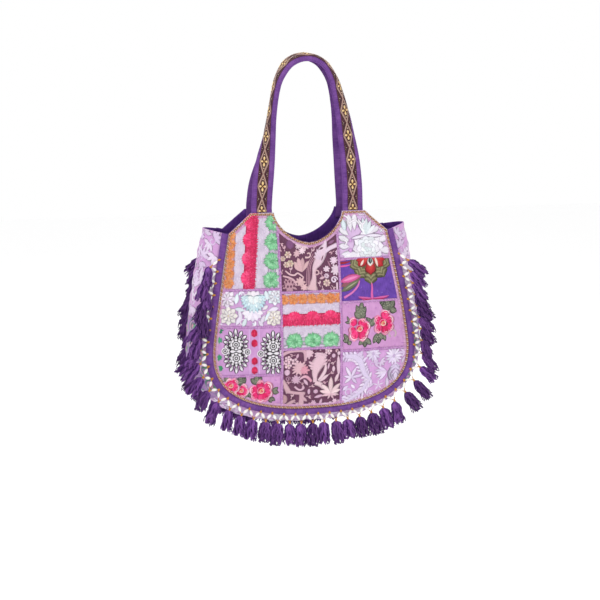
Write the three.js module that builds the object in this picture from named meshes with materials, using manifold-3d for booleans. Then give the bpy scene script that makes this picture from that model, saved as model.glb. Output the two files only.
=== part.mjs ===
// Patchwork tote bag, hanging by its two straps.
// Millimetres, +Z up, front towards -Y. The origin is under the top of the straps, where the bag hangs.
import * as THREE from "three";
import { mergeVertices } from "three/addons/utils/BufferGeometryUtils.js";
import Module from "manifold-3d";

const wasm = await Module();
wasm.setup();

// Cloth walls
const CLOTH = 1.4;
const LINING = 1.2;
const TAPE = 1.0;
const GAP = 0.3;
const LAYER_GAP = 0.6; // between layers of cloth
const EDGE_GAP = 1.1; // between a panel and what meets its inner face

// Panel outline, seen from the front
const TAB_X = 103; // middle of a strap tab
const TAB_HALF = 26;
const TAB_Z = -342; // top of the tabs
const SCALLOP_DEPTH = 66;
const SCALLOP_POWER = 1.65;
const SHOULDER_X = 179;
const SHOULDER_Z = -386;
const WIDEST_HALF = 222.5;
const WIDEST_Z = -642;
const SIDE_POWER = 1.25;
const BOTTOM_DROP = 135; // from the widest height to the lowest point of the patchwork
const BOTTOM_POWER = 2.5;
const BORDER_WIDTH = 14; // plain purple band outside the patchwork
const BRAID_INSET = 1.5;
const BRAID_WIDTH = 3;
const BRAID_HEIGHT = 1.8;

// How the bag stands open, by height: half depth at the side seams, how far the middle of a panel
// bows out beyond them, and how far the gusset bulges out between its two seams.
const SECTIONS = [
  { z: -330, depth: 32, bow: 3, bulge: 34 },
  { z: -386, depth: 40, bow: 6, bulge: 37 },
  { z: -460, depth: 55, bow: 11, bulge: 38 },
  { z: -550, depth: 70, bow: 15, bulge: 36 },
  { z: -650, depth: 79, bow: 14, bulge: 33 },
  { z: -730, depth: 80, bow: 9, bulge: 32 },
  { z: -800, depth: 76, bow: 4, bulge: 32 },
];

// Patchwork: columns from left to right, the heights where each is cut, and its cloths from the top
const SEAM_WIDTH = 5;
const COLUMNS = [
  {
    name: "left",
    from: -260,
    to: -70,
    cuts: [-506, -587, -695],
    cloths: ["striped", "lotus", "medallion", "rose"],
  },
  {
    name: "middle",
    from: -70,
    to: 64,
    cuts: [-514, -639],
    cloths: ["plum", "striped", "plum"],
  },
  {
    name: "right",
    from: 64,
    to: 260,
    cuts: [-446, -540, -648],
    cloths: ["peony", "bloom", "rose", "damask"],
  },
];

// Gusset: its pieces, in steps of the seam line from one top end to the other
const GUSSET_PIECES = [
  { name: "gusset_left_upper", from: 0, to: 3, cloth: "damask" },
  { name: "gusset_left_lower", from: 3, to: 7, cloth: "print" },
  { name: "gusset_bottom", from: 7, to: 17, cloth: "damask" },
  { name: "gusset_right_lower", from: 17, to: 21, cloth: "print" },
  { name: "gusset_right_upper", from: 21, to: 24, cloth: "damask" },
];
const GUSSET_LININGS = [
  { name: "gusset_lining_left", from: 0, to: 8 },
  { name: "gusset_lining_bottom", from: 8, to: 16 },
  { name: "gusset_lining_right", from: 16, to: 24 },
];

// Straps: the middle line from the tab up to the top, how far the strap curls round its middle there, and
// how far its face turns from the front to the outside of the loop on each limb, in degrees
const STRAP_WIDTH = 46;
const STRAP_THICK = 2.4;
const STRAP_SEWN = [-26, 1, 12]; // heights from the top of the tab where the strap lies flat behind it
const RIBBON_WIDTH = 23;
const STRAP_LINES = [-STRAP_WIDTH / 2, -RIBBON_WIDTH / 2, 0, RIBBON_WIDTH / 2, STRAP_WIDTH / 2];
const RIBBON_LINES = STRAP_LINES.slice(1, 4);
const STRAP_TOP = STRAP_THICK / 2;
const STRAP_ROWS = {
  front: [
    { z: -290, y: -32, curl: 12, leftX: 101, leftTurn: 8, rightX: 102, rightTurn: 3 },
    { z: -235, y: -30, curl: 45, leftX: 96, leftTurn: 32, rightX: 99, rightTurn: 8 },
    { z: -183, y: -27.5, curl: 85, leftX: 91, leftTurn: 58, rightX: 93, rightTurn: 14 },
    { z: -132, y: -24, curl: 120, leftX: 85, leftTurn: 80, rightX: 87, rightTurn: 24 },
    { z: -81, y: -20, curl: 150, leftX: 76, leftTurn: 92, rightX: 77, rightTurn: 44 },
    { z: -48, y: -18, curl: 165, leftX: 66, leftTurn: 93, rightX: 67, rightTurn: 64 },
    { z: -18, y: -17, curl: 175, leftX: 46, leftTurn: 92, rightX: 47, rightTurn: 82 },
    { z: -3, y: -16.5, curl: 180, leftX: 23, leftTurn: 90, rightX: 24, rightTurn: 88 },
    { z: STRAP_TOP, y: -16.5, curl: 180, leftX: 0, leftTurn: 90, rightX: 0, rightTurn: 90 },
  ],
  back: [
    { z: -290, y: -32, curl: 12, leftX: 101, leftTurn: 8, rightX: 99, rightTurn: 10 },
    { z: -235, y: -30, curl: 45, leftX: 97, leftTurn: 32, rightX: 91, rightTurn: 36 },
    { z: -183, y: -27.5, curl: 85, leftX: 91, leftTurn: 58, rightX: 83, rightTurn: 62 },
    { z: -132, y: -24, curl: 120, leftX: 85, leftTurn: 80, rightX: 76, rightTurn: 82 },
    { z: -81, y: -20, curl: 150, leftX: 76, leftTurn: 92, rightX: 68, rightTurn: 90 },
    { z: -48, y: -18, curl: 165, leftX: 66, leftTurn: 93, rightX: 60, rightTurn: 90 },
    { z: -18, y: -17, curl: 175, leftX: 46, leftTurn: 92, rightX: 44, rightTurn: 90 },
    { z: -3, y: -16.5, curl: 180, leftX: 23, leftTurn: 90, rightX: 23, rightTurn: 90 },
    { z: STRAP_TOP, y: -16.5, curl: 180, leftX: 0, leftTurn: 90, rightX: 0, rightTurn: 90 },
  ],
};

// Fringe: a zigzag lace sewn along the outer edge of the border, with a tassel on each outer point
const FRINGE_TOP_Z = -442;
const TASSEL_PITCH = 25.7;
const LACE_REACH = 17;
const LACE_LIMB = 4.5; // width of a slanting limb of the zigzag, along the way that it hangs
const LACE_THICK = 1.6;
const LACE_OVERLAP = 2; // how far its inner points lie over the border
const FRINGE_FORWARD = 0.22; // share by which the lace leans away from the gusset
const FRINGE_DROOP = 0.3; // share by which it hangs
const HEAD_CORD = 2;
const HEAD_HALF = 3;
const TASSEL_OUT = { left: 0.3, right: 0.75 }; // how far they hang away from the bag at its two sides
const TASSEL_FORWARD = 0.12;
const TASSEL_OVER = 0.28; // how much further forward they hang at the sides, each over the next one's head
const TASSEL_SWAY = 0.14; // how far neighbours along the bottom differ, to the front and back
const TASSEL_SWAY_TURN = 2.4; // radians of sway from one tassel to the next
const TASSEL_CLEAR = 0.94; // share of the room between neighbours that a tassel fills
const TASSEL_ROWS = [
  { down: 16, width: 21, thick: 15 },
  { down: 46, width: 25, thick: 19 },
];

const COLOURS = {
  purple: 0x5b2f8c,
  lining: 0x4f2a80,
  striped: 0xe0587c,
  lotus: 0xdcd2ea,
  medallion: 0xb98fd2,
  rose: 0xc887c4,
  plum: 0xb88aa6,
  peony: 0xd9cdea,
  bloom: 0x6a4bb0,
  damask: 0xcda3d6,
  print: 0xa58fae,
  tape: 0xc58ac6,
  braid: 0xc2905e,
  ribbon: 0x4a3038,
  lace: 0xece2cf,
  tassel: 0x47267a,
};
const MATERIALS = Object.fromEntries(
  Object.entries(COLOURS).map(([name, color]) => [
    name,
    new THREE.MeshStandardMaterial({ name, color, roughness: 0.85, metalness: 0 }),
  ]),
);

// A column of a table at a height, on a smooth curve through its rows
function atHeight(rows, column, z) {
  const last = rows.length - 1;
  const at = rows.findIndex((row) => z >= row.z);
  const upper = at < 0 ? last - 1 : Math.max(0, at - 1);
  const [a, b] = [rows[upper], rows[upper + 1]];
  const before = rows[Math.max(0, upper - 1)];
  const after = rows[Math.min(last, upper + 2)];
  const slopeA = (b[column] - before[column]) / (b.z - before.z);
  const slopeB = (after[column] - a[column]) / (after.z - a.z);
  const step = b.z - a.z;
  const t = THREE.MathUtils.clamp((z - a.z) / step, 0, 1);
  const [t2, t3] = [t * t, t * t * t];
  return (
    (2 * t3 - 3 * t2 + 1) * a[column] +
    (t3 - 2 * t2 + t) * step * slopeA +
    (3 * t2 - 2 * t3) * b[column] +
    (t3 - t2) * step * slopeB
  );
}

// Where the outer face of the front lining lies behind a point of the panel
function frontY(x, z) {
  const bow = atHeight(SECTIONS, "bow", z) * (1 - (x / WIDEST_HALF) ** 2);
  return -(atHeight(SECTIONS, "depth", z) + bow);
}

// Closed solid between two grids of points that face each other
function sheet(outer, inner) {
  const across = outer[0].length;
  const points = [...outer.flat(), ...inner.flat()];
  const top = (i, j) => i * across + j;
  const under = (i, j) => outer.length * across + i * across + j;
  const index = [];
  const quad = (a, b, c, d) => index.push(a, b, c, a, c, d);
  const rows = outer.length - 1;
  const columns = across - 1;
  for (let i = 0; i < rows; i++) {
    for (let j = 0; j < columns; j++) {
      quad(top(i, j), top(i + 1, j), top(i + 1, j + 1), top(i, j + 1));
      quad(under(i, j), under(i, j + 1), under(i + 1, j + 1), under(i + 1, j));
    }
    quad(top(i + 1, 0), top(i, 0), under(i, 0), under(i + 1, 0));
    quad(top(i, columns), top(i + 1, columns), under(i + 1, columns), under(i, columns));
  }
  for (let j = 0; j < columns; j++) {
    quad(top(0, j), top(0, j + 1), under(0, j + 1), under(0, j));
    quad(top(rows, j + 1), top(rows, j), under(rows, j), under(rows, j + 1));
  }
  return facingOut(new THREE.BufferGeometry().setFromPoints(points).setIndex(index));
}

// The same geometry with its faces turned to point out of the solid
function facingOut(geometry) {
  const at = geometry.attributes.position;
  const index = geometry.index.array;
  const [a, b, c] = [new THREE.Vector3(), new THREE.Vector3(), new THREE.Vector3()];
  let volume = 0;
  for (let i = 0; i < index.length; i += 3) {
    a.fromBufferAttribute(at, index[i]);
    b.fromBufferAttribute(at, index[i + 1]);
    c.fromBufferAttribute(at, index[i + 2]);
    volume += a.dot(b.cross(c));
  }
  if (volume < 0) {
    for (let i = 0; i < index.length; i += 3) {
      [index[i + 1], index[i + 2]] = [index[i + 2], index[i + 1]];
    }
  }
  return geometry;
}

function solidOf(geometry) {
  const bare = geometry.clone();
  bare.deleteAttribute("normal");
  bare.deleteAttribute("uv");
  const merged = mergeVertices(bare, 1e-4);
  return new wasm.Manifold(
    new wasm.Mesh({
      numProp: 3,
      vertProperties: new Float32Array(merged.attributes.position.array),
      triVerts: new Uint32Array(merged.index.array),
    }),
  );
}

function geometryOf(solid) {
  const mesh = solid.getMesh();
  return new THREE.BufferGeometry()
    .setAttribute("position", new THREE.BufferAttribute(mesh.vertProperties, 3))
    .setIndex(new THREE.BufferAttribute(mesh.triVerts, 1));
}

// Prism through the whole depth of the front panel over an outline given in x and z
const PRISM_DEPTH = 160;
function prism(outline) {
  const shape = new THREE.Shape(outline);
  const geometry = new THREE.ExtrudeGeometry(shape, { depth: PRISM_DEPTH, bevelEnabled: false });
  return solidOf(geometry.rotateX(Math.PI / 2));
}

function rectangle(x0, x1, z0, z1) {
  const low = [new THREE.Vector2(x0, z0), new THREE.Vector2(x1, z0)];
  const high = [new THREE.Vector2(x1, z1), new THREE.Vector2(x0, z1)];
  return [...low, ...high];
}

// Layer of the front panel between two distances out from the lining's outer face
const LAYER_COLUMNS = 7;
const LAYER_ROWS = 8;
const LAYER_HALF = 245;
const LAYER_TOP = -330;
const LAYER_LOW = -800;
function layer(from, to) {
  const grid = (offset) =>
    Array.from({ length: LAYER_ROWS + 1 }, (_, i) =>
      Array.from({ length: LAYER_COLUMNS + 1 }, (_, j) => {
        const x = THREE.MathUtils.lerp(-LAYER_HALF, LAYER_HALF, j / LAYER_COLUMNS);
        const z = THREE.MathUtils.lerp(LAYER_TOP, LAYER_LOW, i / LAYER_ROWS);
        return new THREE.Vector3(x, frontY(x, z) - offset, z);
      }),
    );
  return solidOf(sheet(grid(to), grid(from)));
}

// Seam line round the sides and bottom of a panel, from its left top corner to its right one
const SIDE_STEPS = 4;
const BOTTOM_STEPS = 8;
const SEAM = (() => {
  const right = [];
  for (let i = 0; i < SIDE_STEPS; i++) {
    const t = i / SIDE_STEPS;
    const x = SHOULDER_X + (WIDEST_HALF - SHOULDER_X) * (1 - (1 - t) ** SIDE_POWER);
    right.push(new THREE.Vector2(x, THREE.MathUtils.lerp(SHOULDER_Z, WIDEST_Z, t)));
  }
  for (let i = 0; i <= BOTTOM_STEPS; i++) {
    const angle = (i / BOTTOM_STEPS) * (Math.PI / 2);
    const x = WIDEST_HALF * Math.max(0, Math.cos(angle)) ** (2 / BOTTOM_POWER);
    right.push(new THREE.Vector2(x, WIDEST_Z - BOTTOM_DROP * Math.sin(angle) ** (2 / BOTTOM_POWER)));
  }
  const left = right.slice(0, -1).map((p) => new THREE.Vector2(-p.x, p.y));
  return new THREE.SplineCurve([...left, ...right.reverse()]);
})();

// Point of the seam line, moved out of the panel, with the outward direction
function seamAt(t, out) {
  const at = SEAM.getPoint(t);
  const along = SEAM.getTangent(t);
  const normal = new THREE.Vector2(along.y, -along.x);
  return { x: at.x + normal.x * out, z: at.y + normal.y * out, normal };
}

const SEAM_STEPS = 2 * (SIDE_STEPS + BOTTOM_STEPS);
function sideOutline(out) {
  return Array.from({ length: SEAM_STEPS + 1 }, (_, i) => {
    const { x, z } = seamAt(i / SEAM_STEPS, out);
    return new THREE.Vector2(x, z);
  });
}

// Top edge of a panel from the right corner to the left one
const SCALLOP_STEPS = 14;
function topOutline() {
  const inner = TAB_X - TAB_HALF;
  const outer = TAB_X + TAB_HALF;
  const scallop = Array.from({ length: SCALLOP_STEPS + 1 }, (_, i) => {
    const x = inner * Math.cos((i / SCALLOP_STEPS) * Math.PI);
    const fall = (1 - Math.abs(x / inner) ** SCALLOP_POWER) ** (1 / SCALLOP_POWER);
    return new THREE.Vector2(x, TAB_Z - SCALLOP_DEPTH * fall);
  });
  return [new THREE.Vector2(outer, TAB_Z), ...scallop, new THREE.Vector2(-outer, TAB_Z)];
}

// An outline moved in by a distance, corner by corner, with sharp corners kept short
const MITRE_LIMIT = 0.5;
function inset(outline, distance) {
  const count = outline.length;
  return outline.map((p, i) => {
    const before = p.clone().sub(outline[(i + count - 1) % count]).normalize();
    const after = outline[(i + 1) % count].clone().sub(p).normalize();
    const normal = new THREE.Vector2(-before.y - after.y, before.x + after.x).normalize();
    const stretch = Math.max(MITRE_LIMIT, normal.x * -after.y + normal.y * after.x);
    return p.clone().addScaledVector(normal, distance / stretch);
  });
}

const PATCHWORK = [...sideOutline(0), ...topOutline()];
const PANEL = [...sideOutline(BORDER_WIDTH), ...PATCHWORK.slice(SEAM_STEPS), PATCHWORK[0]];

// Heights of the layers of a panel, out from the lining
const PATCH_FROM = LAYER_GAP;
const PATCH_TO = PATCH_FROM + CLOTH;
const TAPE_FROM = PATCH_TO + LAYER_GAP;

const bag = new THREE.Group();

function piece(group, name, geometry, material) {
  const mesh = new THREE.Mesh(geometry, MATERIALS[material]);
  mesh.name = name;
  group.add(mesh);
}

// Upper and lower limit of each patch of a column
function rowsOf(column) {
  const limits = [LAYER_TOP, ...column.cuts, LAYER_LOW];
  return column.cloths.map((cloth, i) => ({ cloth, top: limits[i], low: limits[i + 1] }));
}

// Strip of cloth on the front panel between two outlines of as many points
function strip(outer, inner, from, to) {
  const grid = (height) =>
    outer.map((p, i) => [p, inner[i]].map((q) => new THREE.Vector3(q.x, frontY(q.x, q.y) - height, q.y)));
  return sheet(grid(to), grid(from));
}

// Lining, patches, border, seam tape and edge braid of one panel
function addPanel(group, side) {
  const patchLayer = layer(PATCH_FROM, PATCH_TO);
  const patchwork = prism(PATCHWORK);
  piece(group, `${side}_lining`, geometryOf(layer(-LINING, 0).intersect(prism(PANEL))), "lining");

  const cloth = patchLayer.intersect(patchwork);
  for (const column of COLUMNS) {
    rowsOf(column).forEach((row, i) => {
      const half = GAP / 2;
      const cell = prism(rectangle(column.from + half, column.to - half, row.low + half, row.top - half));
      piece(group, `${side}_patch_${column.name}_${i + 1}`, geometryOf(cloth.intersect(cell)), row.cloth);
    });
  }

  const border = strip(sideOutline(BORDER_WIDTH), sideOutline(GAP), PATCH_FROM, PATCH_TO);
  piece(group, `${side}_border`, border, "purple");

  const half = SEAM_WIDTH / 2;
  const strips = [];
  for (const column of COLUMNS) {
    if (column !== COLUMNS[0]) {
      strips.push(rectangle(column.from - half, column.from + half, LAYER_LOW, LAYER_TOP));
    }
    for (const cut of column.cuts) {
      strips.push(rectangle(column.from, column.to, cut - half, cut + half));
    }
  }
  const covered = strips.map(prism).reduce((all, strip) => all.add(strip));
  const inside = prism(inset(PATCHWORK, BRAID_INSET + BRAID_WIDTH + GAP));
  const tape = layer(TAPE_FROM, TAPE_FROM + TAPE).intersect(inside).intersect(covered);
  piece(group, `${side}_seam_tape`, geometryOf(tape), "tape");

  const edges = [BRAID_INSET, BRAID_INSET + BRAID_WIDTH].map((distance) => inset(PATCHWORK, distance));
  const braid = strip(edges[0], edges[1], TAPE_FROM, TAPE_FROM + BRAID_HEIGHT);
  piece(group, `${side}_edge_braid`, braid, "braid");
}

// Wall of the gusset between two steps of the seam line, from one depth under its outer face to another
const GUSSET_ACROSS = 4;
function gussetWall(from, to, under, deeper) {
  const seamGap = GAP / SEAM.getLength();
  const grid = (depth) =>
    Array.from({ length: to - from + 1 }, (_, i) => {
      const seam = (i === 0 ? seamGap : 0) - (i === to - from ? seamGap : 0);
      const { x, z, normal } = seamAt((from + i) / SEAM_STEPS + seam, BORDER_WIDTH - GAP);
      const half = -frontY(x, z) - LINING - EDGE_GAP;
      const bulge = atHeight(SECTIONS, "bulge", z);
      return Array.from({ length: GUSSET_ACROSS + 1 }, (_, j) => {
        const t = j / GUSSET_ACROSS;
        const slope = 4 * bulge * (1 - 2 * t);
        const length = Math.hypot(2 * half, slope);
        const out = 4 * bulge * t * (1 - t) - (depth * 2 * half) / length;
        const y = -half * (1 - 2 * t) + (depth * slope) / length;
        return new THREE.Vector3(x + normal.x * out, y, z + normal.y * out);
      });
    });
  return sheet(grid(under), grid(deeper));
}

function addGusset(group) {
  for (const { name, from, to, cloth } of GUSSET_PIECES) {
    piece(group, name, gussetWall(from, to, 0, CLOTH), cloth);
  }
  const under = CLOTH + LAYER_GAP;
  for (const { name, from, to } of GUSSET_LININGS) {
    piece(group, name, gussetWall(from, to, under, under + LINING), "lining");
  }
}

// Sections of a strap from its right end over the top to its left end: place, width and face directions
function strapSections(side) {
  const behind = LINING + EDGE_GAP + STRAP_THICK / 2;
  const sewn = STRAP_SEWN.map((above) => ({
    z: TAB_Z + above,
    y: frontY(TAB_X, TAB_Z + above) + behind,
    curl: 0,
    leftX: TAB_X,
    leftTurn: 0,
    rightX: TAB_X,
    rightTurn: 0,
  }));
  const rows = [...sewn, ...STRAP_ROWS[side]];
  const right = rows.map((row) => ({ ...row, x: row.rightX, turn: row.rightTurn }));
  const left = rows.slice(0, -1).map((row) => ({ ...row, x: -row.leftX, turn: row.leftTurn }));
  const both = [...right, ...left.reverse()];
  const line = new THREE.CatmullRomCurve3(both.map((row) => new THREE.Vector3(row.x, row.y, row.z)));
  return both.map((row, i) => {
    const along = line.getTangent(i / (both.length - 1));
    const outside = new THREE.Vector3(0, 1, 0).cross(along).normalize();
    const front = new THREE.Vector3(0, -1, 0).addScaledVector(along, along.y).normalize();
    const turn = THREE.MathUtils.degToRad(row.turn);
    const face = front.multiplyScalar(Math.cos(turn)).addScaledVector(outside, Math.sin(turn));
    const at = new THREE.Vector3(row.x, row.y, row.z);
    const wide = along.clone().cross(face).normalize();
    return { at, wide, face, curl: THREE.MathUtils.degToRad(row.curl) };
  });
}

// Band along the sections of a strap, with lines across them that follow its curl, between two heights
function band(sections, lines, from, to) {
  const grid = (height) =>
    sections.map(({ at, wide, face, curl }) =>
      lines.map((across) => {
        const angle = (curl * across) / STRAP_WIDTH;
        const radius = curl > 0 ? STRAP_WIDTH / curl : Infinity;
        const aside = curl > 0 ? radius * Math.sin(angle) : across;
        const back = curl > 0 ? radius * (1 - Math.cos(angle)) : 0;
        return at
          .clone()
          .addScaledVector(wide, aside + height * Math.sin(angle))
          .addScaledVector(face, height * Math.cos(angle) - back);
      }),
    );
  return sheet(grid(to), grid(from));
}

function addStrap(group, side) {
  const half = STRAP_THICK / 2;
  const sections = strapSections(side);
  piece(group, `${side}_strap`, band(sections, STRAP_LINES, -half, half), "purple");
  const shown = sections.slice(1, -1);
  piece(group, `${side}_strap_ribbon`, band(shown, RIBBON_LINES, half + GAP, half + GAP + TAPE), "ribbon");
}

// Places of the lace's inner and outer points on the seam line, evenly spread between its two ends
const FRINGE_SAMPLES = 800;
const FRINGE_PLACES = (() => {
  const samples = Array.from({ length: FRINGE_SAMPLES / 2 }, (_, i) => i / FRINGE_SAMPLES);
  const start = samples.find((share) => SEAM.getPointAt(share).y <= FRINGE_TOP_Z);
  const count = Math.round(((1 - 2 * start) * SEAM.getLength()) / TASSEL_PITCH);
  return Array.from({ length: 2 * count + 1 }, (_, i) =>
    SEAM.getUtoTmapping(THREE.MathUtils.lerp(start, 1 - start, i / (2 * count))),
  );
})();

// A point of the fringe at a reach from the border's edge, with the way that the lace hangs there
function fringeAt(t, reach) {
  const { x, z, normal } = seamAt(t, BORDER_WIDTH);
  const hang = new THREE.Vector3(normal.x, -FRINGE_FORWARD, normal.y - FRINGE_DROOP).normalize();
  const clear = LAYER_GAP + FRINGE_FORWARD * (LACE_OVERLAP + LACE_LIMB / 2) + LACE_THICK / 2;
  const start = new THREE.Vector3(x, frontY(x, z) - PATCH_TO - clear, z);
  return { at: start.addScaledVector(hang, reach), hang, normal };
}

// Zigzag lace, lying over the border at its inner points
function addLace(group, side) {
  const middle = FRINGE_PLACES.map((t, i) => fringeAt(t, i % 2 ? LACE_REACH : -LACE_OVERLAP));
  const forward = new THREE.Vector3(0, -1, 0);
  const grid = (height) =>
    middle.map(({ at, hang }, i) => {
      const before = middle[Math.max(0, i - 1)].at;
      const after = middle[Math.min(middle.length - 1, i + 1)].at;
      const along = after.clone().sub(before).normalize();
      const face = along.clone().cross(hang).normalize();
      face.multiplyScalar(Math.sign(face.dot(forward)) || 1);
      return [-0.5, 0.5].map((share) =>
        at.clone().addScaledVector(hang, share * LACE_LIMB).addScaledVector(face, height),
      );
    });
  piece(group, `${side}_zigzag_lace`, sheet(grid(LACE_THICK / 2), grid(-LACE_THICK / 2)), "lace");
}

// Tassels, each a lock of thread that grows out of the cord that runs through their heads
function addTassels(group, side) {
  const reach = LACE_REACH + LACE_LIMB / 2 + GAP + HEAD_CORD / 2;
  const heads = FRINGE_PLACES.filter((_, i) => i % 2).map((t) => fringeAt(t, reach));
  const points = [];
  const index = [];
  const ring = (...corners) => points.push(...corners) - corners.length;
  const quad = (a, b, c, d) => index.push(a, b, c, a, c, d);
  const join = (from, to) => {
    for (let s = 0; s < 4; s++) {
      quad(from[s], from[(s + 1) % 4], to[(s + 1) % 4], to[s]);
    }
  };
  const four = (start) => [start, start + 1, start + 2, start + 3];
  let last = null;
  heads.forEach(({ at, hang, normal }, i) => {
    const along = new THREE.Vector3(-normal.y, 0, normal.x);
    const face = along.clone().cross(hang).normalize();
    const corner = (ahead, out, front) =>
      at
        .clone()
        .addScaledVector(along, ahead * HEAD_HALF)
        .addScaledVector(hang, (out * HEAD_CORD) / 2)
        .addScaledVector(face, (front * HEAD_CORD) / 2);
    const section = (ahead) =>
      four(ring(corner(ahead, 1, 1), corner(ahead, 1, -1), corner(ahead, -1, -1), corner(ahead, -1, 1)));
    const [before, after] = [section(-1), section(1)];
    if (last) {
      join(last, before);
    } else {
      quad(...before.toReversed());
    }
    for (let s = 1; s < 4; s++) {
      quad(before[s], before[(s + 1) % 4], after[(s + 1) % 4], after[s]);
    }
    last = after;

    const aslant = Math.abs(normal.x);
    const sway = TASSEL_SWAY * (1 - aslant) * Math.sin(TASSEL_SWAY_TURN * i);
    const forward = TASSEL_FORWARD + TASSEL_OVER * aslant + sway;
    const out = normal.x > 0 === (side === "front") ? TASSEL_OUT.right : TASSEL_OUT.left;
    const drop = new THREE.Vector3(normal.x * out, -forward, -1).normalize();
    const room = TASSEL_PITCH * along.clone().cross(drop).length() * TASSEL_CLEAR;
    const aside = along.clone().addScaledVector(drop, -along.dot(drop)).normalize();
    const thickness = aside.clone().cross(drop);
    let above = [before[0], before[1], after[1], after[0]];
    for (const { down, width, thick } of TASSEL_ROWS) {
      const place = (x, y) =>
        at
          .clone()
          .addScaledVector(drop, down)
          .addScaledVector(aside, (x * Math.min(width, room)) / 2)
          .addScaledVector(thickness, (y * thick) / 2);
      const below = four(ring(place(-1, 1), place(-1, -1), place(1, -1), place(1, 1)));
      join(above, below);
      above = below;
    }
    quad(...above);
  });
  quad(...last);
  const geometry = new THREE.BufferGeometry().setFromPoints(points).setIndex(index);
  piece(group, `${side}_tassels`, facingOut(geometry), "tassel");
}

for (const side of ["front", "back"]) {
  const half = new THREE.Group();
  half.rotation.z = side === "back" ? Math.PI : 0;
  addPanel(half, side);
  addStrap(half, side);
  addLace(half, side);
  addTassels(half, side);
  bag.add(half);
}
addGusset(bag);

export default bag;
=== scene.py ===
import math
import random

import bpy
import numpy as np
from mathutils import Matrix, Vector, geometry


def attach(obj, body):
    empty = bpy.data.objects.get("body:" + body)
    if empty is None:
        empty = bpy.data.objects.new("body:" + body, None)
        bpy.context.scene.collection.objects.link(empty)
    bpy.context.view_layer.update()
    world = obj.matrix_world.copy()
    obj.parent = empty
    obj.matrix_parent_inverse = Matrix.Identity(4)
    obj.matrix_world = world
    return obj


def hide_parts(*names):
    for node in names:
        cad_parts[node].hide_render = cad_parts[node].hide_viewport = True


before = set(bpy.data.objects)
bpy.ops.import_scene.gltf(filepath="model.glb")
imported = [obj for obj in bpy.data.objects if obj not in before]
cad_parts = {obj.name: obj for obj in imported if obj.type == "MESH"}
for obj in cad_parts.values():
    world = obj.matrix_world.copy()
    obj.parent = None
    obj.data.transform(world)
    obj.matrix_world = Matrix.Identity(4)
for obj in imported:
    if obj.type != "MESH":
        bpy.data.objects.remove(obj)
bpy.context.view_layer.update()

# View, light and floor
# A long lens from the front, a little to the left and above, with wide soft lights round the hanging bag
# and a pale floor well below it.
AIM = Vector((-0.0094, 0.002, -0.5476))
CAMERA_TURN = math.radians(-12.2)
CAMERA_TILT = math.radians(10.8)
CAMERA_AWAY = 3.6
CAMERA_LENS = 95.8
FLOOR_Z, FLOOR_HALF = -1.17, 6
LIGHTS = (
    # name, place, size, power
    ("key_light", (-1.6, -2.6, 1.2), 2.0, 24),
    ("fill_light", (2.2, -2.0, 0.0), 2.2, 8),
    ("top_light", (0.0, 0.4, 1.9), 2.0, 10),
    ("back_light", (0.6, 2.6, 0.4), 2.4, 12),
)

toward = Vector((
    math.sin(CAMERA_TURN) * math.cos(CAMERA_TILT),
    -math.cos(CAMERA_TURN) * math.cos(CAMERA_TILT),
    math.sin(CAMERA_TILT),
))


def in_scene(name, data):
    """A new object of the scene."""
    made = bpy.data.objects.new(name, data)
    bpy.context.scene.collection.objects.link(made)
    return made


camera_data = bpy.data.cameras.new("camera")
camera_data.lens = CAMERA_LENS
camera = in_scene("camera", camera_data)
camera.location = AIM + toward * CAMERA_AWAY
camera.rotation_euler = toward.to_track_quat("Z", "Y").to_euler()
bpy.context.scene.camera = camera
bpy.context.scene.view_settings.view_transform = "Standard"

for name, place, size, power in LIGHTS:
    light_data = bpy.data.lights.new(name, "AREA")
    light_data.size = size
    light_data.energy = power
    light = in_scene(name, light_data)
    light.location = place
    light.rotation_euler = (light.location - AIM).to_track_quat("Z", "Y").to_euler()

world = bpy.data.worlds.new("studio")
world.use_nodes = True
world.node_tree.nodes["Background"].inputs["Color"].default_value = (1, 1, 1, 1)
world.node_tree.nodes["Background"].inputs["Strength"].default_value = 1.0
bpy.context.scene.world = world


def feed(tree, made, inputs):
    """Gives a node values or links for its inputs."""
    for key, value in inputs.items():
        if isinstance(value, bpy.types.NodeSocket):
            tree.links.new(value, made.inputs[key])
        else:
            made.inputs[key].default_value = value


def node(tree, kind, inputs=None, **settings):
    """A node of a tree, with its settings and with values or links for its inputs."""
    made = tree.nodes.new(kind)
    for key, value in settings.items():
        setattr(made, key, value)
    feed(tree, made, inputs or {})
    return made


def new_mesh(name, points, faces=()):
    """A mesh from points in metres and faces."""
    mesh = bpy.data.meshes.new(name)
    mesh.from_pydata(points, [], faces)
    return mesh


def new_material(name):
    """A material with its tree and its shader."""
    material = bpy.data.materials.new(name)
    material.use_nodes = True
    return material, material.node_tree, material.node_tree.nodes["Principled BSDF"]


floor_material, tree, shader = new_material("pale_floor")
spots = node(tree, "ShaderNodeTexNoise", {"Scale": 3.0, "Detail": 3.0})
tone = node(tree, "ShaderNodeMix", {
    0: spots.outputs["Fac"], 6: (0.97, 0.97, 0.972, 1), 7: (0.99, 0.99, 0.99, 1)}, data_type="RGBA")
feed(tree, shader, {"Base Color": tone.outputs[2], "Roughness": 0.9})
corners = [(x * FLOOR_HALF, y * FLOOR_HALF, FLOOR_Z) for x, y in ((-1, -1), (1, -1), (1, 1), (-1, 1))]
floor_mesh = new_mesh("floor", corners, [(0, 1, 2, 3)])
floor_mesh.materials.append(floor_material)
floor = in_scene("floor", floor_mesh)

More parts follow.
